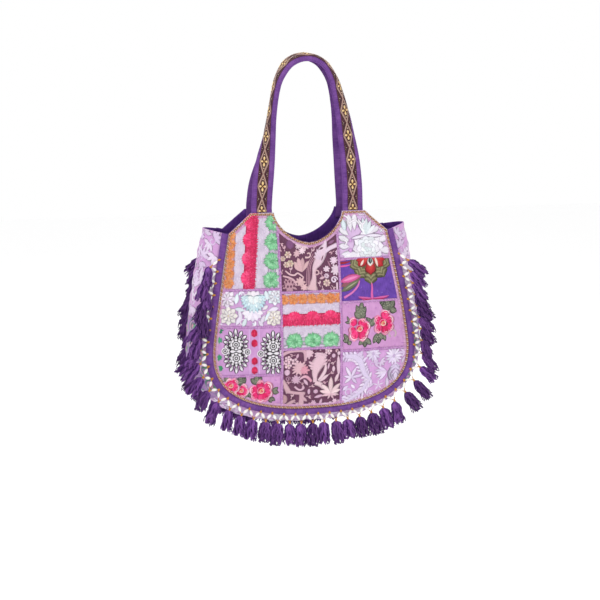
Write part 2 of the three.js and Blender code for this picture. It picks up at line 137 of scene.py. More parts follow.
# Linings
# The inside is plain purple cotton: a panel behind each patchwork face and a strip behind the gusset.
# It is cut to the same outline, sewn in at the edges, and shows above the back panel and in the mouth.
# Sizes are in millimetres until a mesh is made.
FACES = (("front", 1), ("back", -1))
LINING = 1.2
LINING_EDGE, LINING_GRID = 8, 10
TAB_X, TAB_HALF, TAB_Z = 103, 26, -342
SCALLOP_DEPTH, SCALLOP_POWER = 66, 1.65
SHOULDER_X, SHOULDER_Z = 179, -386
WIDEST_HALF, WIDEST_Z = 222.5, -642
SIDE_POWER, BOTTOM_DROP, BOTTOM_POWER = 1.25, 135, 2.5
BORDER_WIDTH = 14
SIDE_STEPS, SEAM_STEPS = 4, 24
STEP_NEAR, SEAM_SAMPLES = 0.06, 3000
PULL_END_X, PULL_END_Z, PULL_FADE = 228, -785, 60
POINTS_AT_ONCE = 6000
SECTIONS = np.array((
    # height, half depth at the seams, bow of a panel, bulge of the gusset
    (-800, 76, 4, 32),
    (-730, 80, 9, 32),
    (-650, 79, 14, 33),
    (-550, 70, 15, 36),
    (-460, 55, 11, 38),
    (-386, 40, 6, 37),
    (-330, 32, 3, 34),
), float)


def at_height(column, z):
    """A column of the sections at some heights, on a smooth curve through its rows."""
    heights, values = SECTIONS[:, 0], SECTIONS[:, column]
    slopes = np.empty(len(values))
    slopes[1:-1] = (values[2:] - values[:-2]) / (heights[2:] - heights[:-2])
    slopes[0] = (values[1] - values[0]) / (heights[1] - heights[0])
    slopes[-1] = (values[-1] - values[-2]) / (heights[-1] - heights[-2])
    z = np.clip(z, heights[0], heights[-1])
    i = np.clip(np.searchsorted(heights, z) - 1, 0, len(values) - 2)
    step = heights[i + 1] - heights[i]
    t = (z - heights[i]) / step
    return ((2 * t**3 - 3 * t**2 + 1) * values[i] + (t**3 - 2 * t**2 + t) * step * slopes[i]
            + (3 * t**2 - 2 * t**3) * values[i + 1] + (t**3 - t**2) * step * slopes[i + 1])


def front_y(x, z):
    """Outer face of the front lining behind points of the panel."""
    return -(at_height(1, z) + at_height(2, z) * (1 - (x / WIDEST_HALF) ** 2))


def pulls(x, z):
    """Soft waves of the hanging cloth, which all layers of a panel share and which end at its seams."""
    fade = np.clip((1 - (np.abs(x) / PULL_END_X) ** 3) * (z - PULL_END_Z) / PULL_FADE, 0, 1)
    folds = np.sin(x / 31 + 1.3 * np.sin(z / 57)) * np.sin(z / 43 + x / 150)
    return fade * (1.3 * folds + 0.6 * np.sin((x + 0.7 * z) / 23))


def on_panel(x, z, out):
    """Points of the front panel at distances out from its lining."""
    x, z = np.asarray(x, float), np.asarray(z, float)
    return np.stack([x, front_y(x, z) - pulls(x, z) - out, z], -1)


def seam_at(step, out=0.0):
    """The seam round a panel by its steps from the left top to the right one, moved out, with its normals."""
    step = np.asarray(step, float)

    def line(q):
        mirrored = np.where(q > SEAM_STEPS / 2, SEAM_STEPS - q, q)
        t = np.clip(mirrored / SIDE_STEPS, 0, 1)
        angle = np.clip((mirrored - SIDE_STEPS) / (SEAM_STEPS / 2 - SIDE_STEPS), 0, 1) * math.pi / 2
        side = SHOULDER_X + (WIDEST_HALF - SHOULDER_X) * (1 - (1 - t) ** SIDE_POWER)
        low = WIDEST_HALF * np.cos(angle).clip(0) ** (2 / BOTTOM_POWER)
        x = np.where(mirrored < SIDE_STEPS, side, low)
        z = np.where(mirrored < SIDE_STEPS, SHOULDER_Z + (WIDEST_Z - SHOULDER_Z) * t,
                     WIDEST_Z - BOTTOM_DROP * np.sin(angle) ** (2 / BOTTOM_POWER))
        return np.where(q > SEAM_STEPS / 2, x, -x), z

    x, z = line(step)
    ahead, behind = (np.clip(step + near, 0, SEAM_STEPS) for near in (STEP_NEAR, -STEP_NEAR))
    dx, dz = (a - b for a, b in zip(line(ahead), line(behind)))
    length = np.hypot(dx, dz)
    normal_x, normal_z = dz / length, -dx / length
    return x + normal_x * out, z + normal_z * out, normal_x, normal_z


def running(lengths):
    """How far one has come after each of some lengths."""
    return np.concatenate([[0], np.cumsum(lengths)])


def even_steps(first, last, spacing):
    """Steps of the seam line that lie evenly along it, and their distances."""
    fine = np.linspace(first, last, SEAM_SAMPLES)
    x, z, _, _ = seam_at(fine)
    along = running(np.hypot(np.diff(x), np.diff(z)))
    count = max(2, round(along[-1] / spacing) + 1)
    distances = np.linspace(0, along[-1], count)
    return np.interp(distances, along, fine), distances


def panel_outline(out, spacing):
    """Outline of a panel, counter-clockwise, with its sides and bottom moved out."""
    x, z, _, _ = seam_at(even_steps(0, SEAM_STEPS, spacing)[0], out)
    inner, outer = TAB_X - TAB_HALF, TAB_X + TAB_HALF
    scallop_x = inner * np.cos(np.linspace(0, math.pi, 41))
    fall = (1 - np.abs(scallop_x / inner).clip(0, 1) ** SCALLOP_POWER) ** (1 / SCALLOP_POWER)
    corners = [(SHOULDER_X, SHOULDER_Z), (outer, TAB_Z), *zip(scallop_x, TAB_Z - SCALLOP_DEPTH * fall),
               (-outer, TAB_Z), (-SHOULDER_X, SHOULDER_Z)]
    if out == 0:
        corners = corners[1:-1]
    return split_edges(np.array([*zip(x, z), *corners]), spacing)


def split_edges(outline, spacing):
    """The same closed outline with points no further apart than the spacing."""
    points = []
    for a, b in zip(outline, np.roll(outline, -1, axis=0)):
        count = max(1, math.ceil(np.hypot(*(b - a)) / spacing))
        points += [a + (b - a) * i / count for i in range(count)]
    return np.array(points)


def edge_of(outline, points):
    """How far points lie from an outline, the nearest places on it, and which of them lie inside."""
    p = np.asarray(points, float)[:, None]
    if len(p) > POINTS_AT_ONCE:
        parts = [edge_of(outline, p[i:i + POINTS_AT_ONCE, 0]) for i in range(0, len(p), POINTS_AT_ONCE)]
        return [np.concatenate(column) for column in zip(*parts)]
    a, b = outline[None], np.roll(outline, -1, axis=0)[None]
    way = b - a
    share = (((p - a) * way).sum(-1) / (way**2).sum(-1).clip(1e-9)).clip(0, 1)
    places = a + way * share[..., None]
    distance = np.hypot(*np.moveaxis(p - places, -1, 0))
    nearest = distance.argmin(1)
    rows = np.arange(len(p))
    above = (a[..., 1] > p[..., 1]) != (b[..., 1] > p[..., 1])
    rise = np.where(way[..., 1] == 0, 1e-9, way[..., 1])
    crossing = above & (p[..., 0] < a[..., 0] + (p[..., 1] - a[..., 1]) / rise * way[..., 0])
    return distance[rows, nearest], places[rows, nearest], crossing.sum(1) % 2 == 1


def cut_cloth(outline, spacing):
    """Triangles of a piece of cloth inside an outline: flat points and faces."""
    low, high = outline.min(0), outline.max(0)
    grid = [(x + (row % 2) * spacing / 2, z)
            for row, z in enumerate(np.arange(low[1], high[1], spacing * 0.87))
            for x in np.arange(low[0], high[0], spacing)]
    distance, _, inside = edge_of(outline, grid)
    grid = np.array(grid)[inside & (distance > spacing * 0.5)]
    flat = [Vector(p) for p in (*outline, *grid)]
    ring = [list(range(len(outline)))]
    points, _, faces, _, _, _ = geometry.delaunay_2d_cdt(flat, [], ring, 1, 1e-5)
    return np.array([tuple(p) for p in points]), [tuple(f) for f in faces]


def thick(outer, inner, faces):
    """Closed cloth from the points of its two faces."""
    count = len(outer)
    edges = {}
    for face in faces:
        for a, b in zip(face, (*face[1:], face[0])):
            if (b, a) in edges:
                del edges[b, a]
            else:
                edges[a, b] = True
    under = [tuple(i + count for i in reversed(face)) for face in faces]
    rim = [(b, a, a + count, b + count) for a, b in edges]
    return np.concatenate([outer, inner]), [*faces, *under, *rim]


def lay_coordinates(mesh, uv):
    """Cloth coordinates in metres for the points of a mesh."""
    corner = np.empty(len(mesh.loops), int)
    mesh.loops.foreach_get("vertex_index", corner)
    mesh.uv_layers.new(name="cloth").data.foreach_set("uv", uv[corner].ravel())


def new_piece(name, points, faces, material, uv, thread=None, side=1):
    """A piece from points and cloth coordinates in millimetres, with its thread colours."""
    mesh = new_mesh(name, np.asarray(points, float) * (0.001 * side, 0.001 * side, 0.001), faces)
    mesh.materials.append(material)
    lay_coordinates(mesh, np.asarray(uv, float) * 0.001)
    if thread is not None:
        colours = mesh.color_attributes.new("thread", "FLOAT_COLOR", "POINT")
        colours.data.foreach_set("color", np.c_[thread, np.ones(len(thread))].ravel())
    mesh.shade_smooth()
    return in_scene(name, mesh)


def put_on(piece, slot, *nodes):
    """The piece goes with the bag and stands for its solids; its slot is not used."""
    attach(piece, "root")
    if nodes:
        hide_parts(*nodes)


def node_group(kind, name, inputs, outputs):
    """An empty group of nodes, with what it is given and what it is wanted for."""
    group = bpy.data.node_groups.new(name, f"{kind}NodeTree")
    for way, sockets in (("INPUT", inputs), ("OUTPUT", outputs)):
        for label, socket in sockets.items():
            group.interface.new_socket(label, in_out=way, socket_type=f"NodeSocket{socket}")
    return group, group.nodes.new("NodeGroupInput").outputs, group.nodes.new("NodeGroupOutput").inputs


def calculated(tree, operation, *values):
    """The result of a sum with values or links."""
    return node(tree, "ShaderNodeMath", dict(enumerate(values)), operation=operation).outputs[0]


def scaled(tree, vector, factor):
    """A vector or colour times a factor."""
    return node(tree, "ShaderNodeVectorMath", {0: vector, "Scale": factor}, operation="SCALE").outputs[0]


# Plain weave: height of the crossing threads, and slubs that thicken or thin them here and there
WEAVE, given, wanted = node_group(
    "Shader", "plain_weave", {"Place": "Vector", "Threads": "Float", "Mottle": "Float"},
    {"Height": "Float", "Slub": "Float", "Mottling": "Float"})
threads = scaled(WEAVE, given["Place"], given["Threads"])
split = node(WEAVE, "ShaderNodeSeparateXYZ", {0: scaled(WEAVE, threads, math.pi)})
ribs = [calculated(WEAVE, "ABSOLUTE", calculated(WEAVE, "SINE", split.outputs[i])) for i in (0, 1)]
over = node(WEAVE, "ShaderNodeTexChecker", {"Vector": threads, "Scale": 1.0})
woven = node(WEAVE, "ShaderNodeMix", {0: over.outputs["Fac"], 2: ribs[0], 3: ribs[1]})
long_way = node(WEAVE, "ShaderNodeMapping", {"Vector": threads, "Scale": (0.5, 0.03, 1.0)})
slub = node(WEAVE, "ShaderNodeTexNoise", {"Vector": long_way.outputs[0], "Scale": 1.0, "Detail": 3.0})
mottling = node(WEAVE, "ShaderNodeTexNoise", {
    "Vector": given["Place"], "Scale": given["Mottle"], "Detail": 5.0})
WEAVE.links.new(woven.outputs[0], wanted["Height"])
WEAVE.links.new(slub.outputs["Fac"], wanted["Slub"])
WEAVE.links.new(mottling.outputs["Fac"], wanted["Mottling"])


def paint(code):
    """Linear colour for the usual six digits."""
    parts = [int(code[i:i + 2], 16) / 255 for i in (0, 2, 4)]
    return tuple(p / 12.92 if p <= 0.04045 else ((p + 0.055) / 1.055) ** 2.4 for p in parts)


def woven_cloth(name, light, dark, threads=1400.0, mottle=45.0, rough=0.85, sheen=0.3, depth=0.0004):
    """Cloth of one plain weave: two tones, slubs and mottling, with a soft sheen."""
    material, tree, shader = new_material(name)
    place = node(tree, "ShaderNodeUVMap", uv_map="cloth")
    weave = node(tree, "ShaderNodeGroup", {
        "Place": place.outputs[0], "Threads": threads, "Mottle": mottle}, node_tree=WEAVE)
    share = calculated(tree, "ADD", weave.outputs["Slub"], weave.outputs["Mottling"])
    level = node(tree, "ShaderNodeMapRange", {"Value": share, "From Min": 0.75, "From Max": 1.3})
    tone = node(tree, "ShaderNodeMix", {
        0: level.outputs[0], 6: (*paint(dark), 1), 7: (*paint(light), 1)}, data_type="RGBA")
    gloss = node(tree, "ShaderNodeMapRange", {
        "Value": weave.outputs["Slub"], "To Min": rough + 0.08, "To Max": rough - 0.08})
    bump = node(tree, "ShaderNodeBump", {
        "Strength": 0.5, "Distance": depth, "Height": weave.outputs["Height"]})
    feed(tree, shader, {
        "Base Color": tone.outputs[2], "Roughness": gloss.outputs[0], "Normal": bump.outputs[0],
        "Sheen Weight": sheen, "Sheen Roughness": 0.45, "Sheen Tint": (*paint(light), 1),
        "Specular IOR Level": 0.25})
    return material


lining_cotton = woven_cloth("lining_weave", "663a94", "482570", sheen=0.15)
PANEL = panel_outline(BORDER_WIDTH, LINING_EDGE)
flat, faces = cut_cloth(PANEL, LINING_GRID)
points, faces = thick(on_panel(*flat.T, 0), on_panel(*flat.T, -LINING), faces)
for face, side in FACES:
    name = f"{face}_lining"
    lining = new_piece(name, points, faces, lining_cotton, np.r_[flat, flat], side=side)
    put_on(lining, "lining_cotton", name)
    size = (PANEL.max(0) - PANEL.min(0)) / 1000

# Patchwork
# Eleven patches of brocade and embroidered ribbon cloth make up each face, sewn edge to edge on the lining.
# Their flowers are thread: each petal, leaf and stem is a low ridge of stitches on the ground weave.
CLOTH = 1.4
LAYER_GAP = 0.6
PATCH_GAP = 0.3
PATCHWORK_EDGE, PATCH_EDGE, PATCH_GRID = 4, 5, 6
PATCH_PUFF, PATCH_ROUND = 1.6, 9
FILL_TRIES = 900
PATCHES = (
    # place, left, right, top, low, cloth
    ("left_1", -260, -70, -330, -506, "striped_ribbon"),
    ("left_2", -260, -70, -506, -587, "lotus_brocade"),
    ("left_3", -260, -70, -587, -695, "medallion_brocade"),
    ("left_4", -260, -70, -695, -800, "rose_brocade"),
    ("middle_1", -70, 64, -330, -514, "plum_brocade"),
    ("middle_2", -70, 64, -514, -639, "striped_ribbon"),
    ("middle_3", -70, 64, -639, -800, "plum_brocade"),
    ("right_1", 64, 260, -330, -446, "peony_brocade"),
    ("right_2", 64, 260, -446, -540, "bloom_brocade"),
    ("right_3", 64, 260, -540, -648, "rose_brocade"),
    ("right_4", 64, 260, -648, -800, "damask_brocade"),
)
GROUNDS = {
    # cloth: light tone, dark tone, roughness
    "striped_ribbon": ("dccfe0", "bdaec6", 0.6),
    "lotus_brocade": ("cea6d0", "b98cbe", 0.55),
    "medallion_brocade": ("ca9acb", "b787bc", 0.55),
    "rose_brocade": ("ce99c9", "b984b7", 0.55),
    "plum_brocade": ("6e3f5b", "552f46", 0.5),
    "peony_brocade": ("d4b8da", "c2a2ca", 0.55),
    "bloom_brocade": ("6c44aa", "54318c", 0.5),
    "damask_brocade": ("d2a3d4", "c08fc3", 0.5),
}


def rectangle_cut(outline, left, right, top, low):
    """The part of an outline inside a rectangle."""
    for axis, limit, sign in ((0, left, 1), (0, right, -1), (1, low, 1), (1, top, -1)):
        kept = []
        for a, b in zip(outline, np.roll(outline, -1, axis=0)):
            inside_a, inside_b = sign * (a[axis] - limit) >= 0, sign * (b[axis] - limit) >= 0
            if inside_a:
                kept.append(a)
            if inside_a != inside_b:
                kept.append(a + (b - a) * (limit - a[axis]) / (b[axis] - a[axis]))
        outline = np.array(kept)
    apart = np.hypot(*(outline - np.roll(outline, 1, axis=0)).T) > 0.01
    return outline[apart]


def stored(tree, label, kind):
    """What is stored at each point under a label."""
    return node(tree, "GeometryNodeInputNamedAttribute", {"Name": label}, data_type=kind).outputs[0]


def sewing_tree():
    """Nodes that sew one of several small forms at every point, turned, sized and tinted as it says."""
    tree, given, wanted = node_group(
        "Geometry", "sewn_on", {"Geometry": "Geometry", "Forms": "Collection", "Material": "Material"},
        {"Geometry": "Geometry"})
    forms = node(tree, "GeometryNodeCollectionInfo", {
        "Collection": given["Forms"], "Separate Children": True, "Reset Children": True})
    kind, turn, size = (stored(tree, label, form) for label, form in (
        ("kind", "INT"), ("turn", "QUATERNION"), ("size", "FLOAT_VECTOR")))
    sewn_forms = node(tree, "GeometryNodeInstanceOnPoints", {
        "Points": given["Geometry"], "Instance": forms.outputs[0], "Pick Instance": True,
        "Instance Index": kind, "Rotation": turn, "Scale": size})
    real = node(tree, "GeometryNodeRealizeInstances", {"Geometry": sewn_forms.outputs[0]})
    finished = node(tree, "GeometryNodeSetMaterial", {
        "Geometry": real.outputs[0], "Material": given["Material"]})
    tree.links.new(finished.outputs[0], wanted[0])
    return tree


SEWN_ON = sewing_tree()


def built(holder, tree, **inputs):
    """What a node tree makes of an object, as a plain mesh."""
    modifier = holder.modifiers.new("made", "NODES")
    modifier.node_group = tree
    for item in tree.interface.items_tree:
        if item.in_out == "INPUT" and item.name in inputs:
            modifier[item.identifier] = inputs[item.name]
    bpy.context.view_layer.update()
    evaluated = holder.evaluated_get(bpy.context.evaluated_depsgraph_get())
    mesh = bpy.data.meshes.new_from_object(evaluated)
    holder.modifiers.remove(modifier)
    return mesh


def forms_of(name, *meshes):
    """A collection of small forms, outside the scene."""
    forms = bpy.data.collections.new(name)
    for i, mesh in enumerate(meshes):
        forms.objects.link(bpy.data.objects.new(f"{name}_{i}", mesh))
    return forms


def grain(name, around, rings, blunt=0.5):
    """A small form of one grain with unit length, width and thickness, more pointed as blunt goes up."""
    points, uv = [(-0.5, 0, 0)], [(0, 0)]
    for i in range(1, rings + 1):
        share = i / (rings + 1)
        radius = 0.5 * math.sin(math.pi * share) ** blunt
        for k in range(around):
            angle = 2 * math.pi * k / around
            points.append((share - 0.5, radius * math.cos(angle), radius * math.sin(angle)))
            uv.append((0.008 * share, 0.004 * k / around))
    points.append((0.5, 0, 0))
    uv.append((0.008, 0))
    faces = []
    for k in range(around):
        ahead = (k + 1) % around
        faces.append((0, 1 + ahead, 1 + k))
        faces.append((len(points) - 1, len(points) - 1 - around + k, len(points) - 1 - around + ahead))
        for i in range(rings - 1):
            a, b = 1 + i * around + k, 1 + i * around + ahead
            faces.append((a, b, b + around, a + around))
    mesh = new_mesh(name, points, faces)
    lay_coordinates(mesh, np.array(uv))
    mesh.shade_smooth()
    return forms_of(name, mesh)


def unit(ways):
    """Directions of length one."""
    return ways / np.linalg.norm(ways, axis=1)[:, None]


def sew(name, places, ways, fronts, sizes, tints, forms, material, kinds=0, side=1):
    """Small forms sewn on at places in millimetres, long along their ways, with their faces to the fronts."""
    places, ways, fronts = (np.asarray(a, float) * (side, side, 1) for a in (places, ways, fronts))
    count = len(places)
    ways = unit(ways)
    asides = unit(np.cross(fronts, ways))
    turns = [Matrix(axes).transposed().to_quaternion() for axes in zip(ways, asides, np.cross(ways, asides))]
    mesh = new_mesh(f"{name}_places", places * 0.001)

    def store(label, kind, field, values, columns):
        layer = mesh.attributes.new(label, kind, "POINT")
        layer.data.foreach_set(field, np.ascontiguousarray(np.broadcast_to(values, (count, columns))).ravel())

    store("turn", "QUATERNION", "value", np.array([tuple(q) for q in turns]), 4)
    store("size", "FLOAT_VECTOR", "vector", np.asarray(sizes, float) * 0.001, 3)
    store("kind", "INT", "value", np.reshape(kinds, (-1, 1)), 1)
    if tints is not None:
        store("thread", "FLOAT_COLOR", "color", np.c_[np.broadcast_to(tints, (count, 3)), np.ones(count)], 4)
    holder = in_scene(f"{name}_places", mesh)
    made = built(holder, SEWN_ON, Forms=forms, Material=material)
    bpy.data.objects.remove(holder)
    made.name = name
    return in_scene(name, made)


def joined(name, *pieces):
    """Several meshes of one piece as one object."""
    with bpy.context.temp_override(active_object=pieces[0], selected_editable_objects=list(pieces)):
        bpy.ops.object.join()
    pieces[0].name = pieces[0].data.name = name
    return pieces[0]


def heading(angle):
    """Flat direction at an angle in degrees."""
    return np.array((math.cos(math.radians(angle)), math.sin(math.radians(angle))))


def turn_of(way):
    """Angle of a flat direction in degrees."""
    return math.degrees(math.atan2(way[1], way[0]))


def smooth_line(places, pieces=6):
    """A smooth line through places, as a list of closer places."""
    places = np.asarray(places, float)
    knots = np.vstack([2 * places[0] - places[1], places, 2 * places[-1] - places[-2]])
    t = np.arange(pieces)[:, None] / pieces
    line = []
    for a, b, c, d in zip(knots, knots[1:], knots[2:], knots[3:]):
        bend = (2 * a - 5 * b + 4 * c - d) * t**2 + (3 * b - a - 3 * c + d) * t**3
        line.append(0.5 * (2 * b + (c - a) * t + bend))
    return np.vstack([*line, places[-1:]])


def along_path(path, spacing):
    """Places and directions at even distances along a path."""
    path = np.asarray(path, float)
    reached = running(np.linalg.norm(np.diff(path, axis=0), axis=1))
    wanted_at = np.linspace(0, reached[-1], max(2, round(reached[-1] / spacing) + 1))
    places = np.stack([np.interp(wanted_at, reached, column) for column in path.T], -1)
    return places, unit(np.gradient(places, axis=0))


short_stitch = grain("short_stitch", 4, 1)


class Embroidery:
    """Thread work on a piece of cloth, in the cloth's flat millimetres."""

    def __init__(self, seed):
        self.random = random.Random(seed)
        self.points, self.rises, self.colours, self.along, self.faces = [], [], [], [], []
        self.stitches = []
        self.count = 0
        self.taken = []

    def pick(self, codes):
        """One of some colours, a little lighter or darker."""
        shade = self.random.uniform(0.88, 1.1)
        return tuple(c * shade for c in paint(self.random.choice(codes.split())))

    def stroke(self, path, half, colour, tip=None, rise=0.5, lift=0.0):
        """A ridge of thread along a path, with its half widths and its colours from start to end."""
        path = np.asarray(path, float)
        count = len(path)
        way = np.gradient(path, axis=0)
        aside = np.stack([-way[:, 1], way[:, 0]], -1) / np.hypot(*way.T).clip(1e-6)[:, None]
        half = np.broadcast_to(np.asarray(half, float), count).clip(0.12)
        self.taken.append(np.c_[path, half])
        across = np.array((-1, -0.5, 0.5, 1))
        crown = np.array((-0.3, 1, 1, -0.3)) * rise + lift
        start = np.array(paint(colour) if isinstance(colour, str) else colour)
        end = start if tip is None else np.array(paint(tip) if isinstance(tip, str) else tip)
        share = np.linspace(0, 1, count)[:, None, None]
        # Painted shade: the colour along both outer edges of every stroke is darkened to 0.72, where its
        # ridge slopes down to the ground.
        edge = np.array((0.72, 1, 1, 0.72))[None, :, None]
        offset = half[:, None] * across
        length = running(np.hypot(*np.diff(path, axis=0).T))
        self.points.append((path[:, None] + aside[:, None] * offset[..., None]).reshape(-1, 2))
        self.rises.append(np.tile(crown, count))
        self.colours.append(((start + (end - start) * share) * edge).reshape(-1, 3))
        self.along.append(np.stack([np.repeat(length, 4), offset.ravel()], -1))
        row = self.count + 4 * np.arange(count - 1)[:, None]
        near, far = row + np.arange(4), row + (1, 2, 3, 0)
        self.faces.append(np.stack([near, near + 4, far + 4, far], -1).reshape(-1, 4))
        self.faces.append(np.array((near[0], near[-1, ::-1] + 4)))
        self.count += 4 * count

    def stitch(self, at, angle, length, width, colour, rise=0.4, lift=0.0):
        """One short stitch from its foot."""
        self.stitches.append((*(np.asarray(at, float) + heading(angle) * length / 2), angle, length, width,
                              2 * rise, lift, *colour))

    def petal(self, at, angle, length, width, colour, tip=None, bend=0.0, full=1.0, edge=None, rise=0.5,
              lift=0.0):
        """A petal or leaf from its foot, widest near the foot for a full below 1 and near the tip above 1."""
        t = np.linspace(0, 1, 7)
        way = heading(angle)
        side = np.array((-way[1], way[0]))
        path = np.asarray(at, float) + length * (way * t[:, None] + side * (bend * t**2)[:, None])
        half = width / 2 * np.sin(math.pi * t**full).clip(0) ** 0.75
        if edge:
            self.stroke(path + way * (t[:, None] - 0.4) * 1.6, half + 0.8, edge, rise=rise * 0.6, lift=lift)
            lift += rise * 0.35
        self.stroke(path, half, colour, tip, rise, lift)

    def blade(self, foot, tip, width, colour, bend=0.0, full=1.0, edge=None, rise=0.4, lift=0.0):
        """A petal or leaf from its foot to its tip."""
        foot = np.asarray(foot, float)
        across, up = tip - foot
        angle = math.degrees(math.atan2(up, across) - math.atan(bend))
        length = math.hypot(across, up) / math.hypot(1, bend)
        self.petal(foot, angle, length, width, colour, None, bend, full, edge, rise, lift)

    def ragged(self, at, radius, colours, points=9, rise=0.35, lift=0.0):
        """A leaf or flower of one tone with a ragged edge."""
        at = np.asarray(at, float)
        colour = self.pick(colours)
        self.disc(at, radius * 0.75, colour, rise=rise, lift=lift)
        for i in range(points):
            angle = 360 * (i + self.random.uniform(-0.25, 0.25)) / points
            self.petal(at + heading(angle) * radius * 0.35, angle, radius * self.random.uniform(0.55, 0.8),
                       4 * radius / points, colour, rise=rise, lift=lift)

    def disc(self, at, radius, colour, tall=1.0, rise=0.5, lift=0.0):
        """A round or oval spot."""
        t = np.linspace(-1, 1, 7)
        path = np.asarray(at, float) + np.stack([t * 0, t * radius * tall], -1)
        self.stroke(path, radius * np.sqrt(1 - t**2), colour, rise=rise, lift=lift)

    def ring(self, at, radius, width, colour, rise=0.4, lift=0.0, first=0.0, last=360.0):
        """A round line, or an arc of one."""
        turn = np.radians(np.linspace(first, last, max(6, int(abs(last - first) / 20) + 1)))
        path = np.asarray(at, float) + radius * np.stack([np.cos(turn), np.sin(turn)], -1)
        self.stroke(path, width / 2, colour, rise=rise, lift=lift)

    def stem(self, places, widths, colour, tip=None, rise=0.4, lift=0.0):
        """A smooth stem or limb through some places, with its widths from start to end."""
        path = smooth_line(places, 5)
        widths = np.atleast_1d(np.asarray(widths, float))
        half = np.interp(np.linspace(0, 1, len(path)), np.linspace(0, 1, len(widths)), widths) / 2
        self.stroke(path, half, colour, tip, rise, lift)

    def curl(self, at, angle, radius, turns, width, colour, rise=0.4):
        """A scroll that winds in to its middle."""
        t = np.linspace(0, 1, int(11 * abs(turns)) + 4)
        turn = math.radians(angle) + t * turns * 2 * math.pi
        arms = (radius * (1 - 0.85 * t))[:, None] * np.stack([np.cos(turn), np.sin(turn)], -1)
        self.stroke(np.asarray(at, float) + arms, np.linspace(width * 0.3, width * 0.6, len(t)), colour,
                    rise=rise)

    def flower(self, at, radius, petals, colour, eye, edge=None, full=1.7, wide=1.0, rise=0.5, lift=0.0,
               turn=0.0):
        """A flower seen from above."""
        at = np.asarray(at, float)
        width = wide * 2 * math.pi * radius * 0.62 / petals
        for i in range(petals):
            angle = turn + 360 * i / petals
            self.petal(at + heading(angle) * radius * 0.12, angle, radius * 0.88, width, self.pick(colour),
                       full=full, edge=edge, rise=rise, lift=lift)
        self.disc(at, radius * 0.24, eye, rise=rise * 1.2, lift=lift + rise * 0.3)

    def fill(self, box, spacing, draw):
        """Small motifs wherever there is still room in a box of left, right, low and top."""
        left, right, low, top = box
        self.taken.append(np.array([(left - 100, low - 100, 0.0)]))
        for _ in range(FILL_TRIES):
            at = np.array((self.random.uniform(left, right), self.random.uniform(low, top)))
            x, z, half = np.concatenate(self.taken).T
            if (np.hypot(x - at[0], z - at[1]) - half).min() > spacing:
                draw(at)
                self.taken.append(np.array([(*at, spacing / 2)]))

    def laid(self, name, outline, place, ground, material, side):
        """The thread work as a piece on its cloth, cut off at the cloth's outline."""
        flat = np.concatenate(self.points)
        _, nearest, inside = edge_of(outline, flat)
        faces = np.concatenate(self.faces)
        faces = faces[inside[faces].any(1)]
        used, faces = np.unique(faces, return_inverse=True)
        flat = np.where(inside[:, None], flat, nearest)[used]
        points = place(*flat.T, ground(flat) + np.concatenate(self.rises)[used])
        work = new_piece(name, points, faces.reshape(-1, 4).tolist(), material,
                         np.concatenate(self.along)[used], np.concatenate(self.colours)[used], side)
        if not self.stitches:
            return work
        marks = np.array(self.stitches)
        turn = np.radians(marks[:, 2])
        reach = np.stack([np.cos(turn), np.sin(turn)], -1) * marks[:, 3:4] / 2
        kept = edge_of(outline, marks[:, :2] + reach)[2] & edge_of(outline, marks[:, :2] - reach)[2]
        marks, turn = marks[kept], turn[kept]
        x, z, lift = marks[:, 0], marks[:, 1], ground(marks[:, :2]) + marks[:, 6]
        at = place(x, z, lift)
        ways = place(x + 0.5 * np.cos(turn), z + 0.5 * np.sin(turn), lift) - at
        fronts = place(x, z, lift + 1) - at
        small = sew(f"{name}_stitches", at, ways, fronts, marks[:, 3:6], marks[:, 7:10], short_stitch,
                    material, side=side)
        return joined(name, work, small)


def tuft(e, at, foot, longest, wide, layers):
    """A tufted flower: layers of radius, count, lift and colours of the stitches round its middle."""
    for radius, count, lift, colours in layers:
        for i in range(count):
            angle = 360 * (i + e.random.uniform(-0.3, 0.3)) / count
            e.stitch(at + heading(angle) * radius * foot, angle, radius * e.random.uniform(0.66, longest),
                     wide * radius, e.pick(colours), 0.5, lift)


def dashes(e, box, spacing, length, width, colours):
    """Single stitches in what is left of a ground."""
    def dash(at):
        e.stitch(at, e.random.uniform(0, 360), length, width, e.pick(colours), 0.3)

    e.fill(box, spacing, dash)


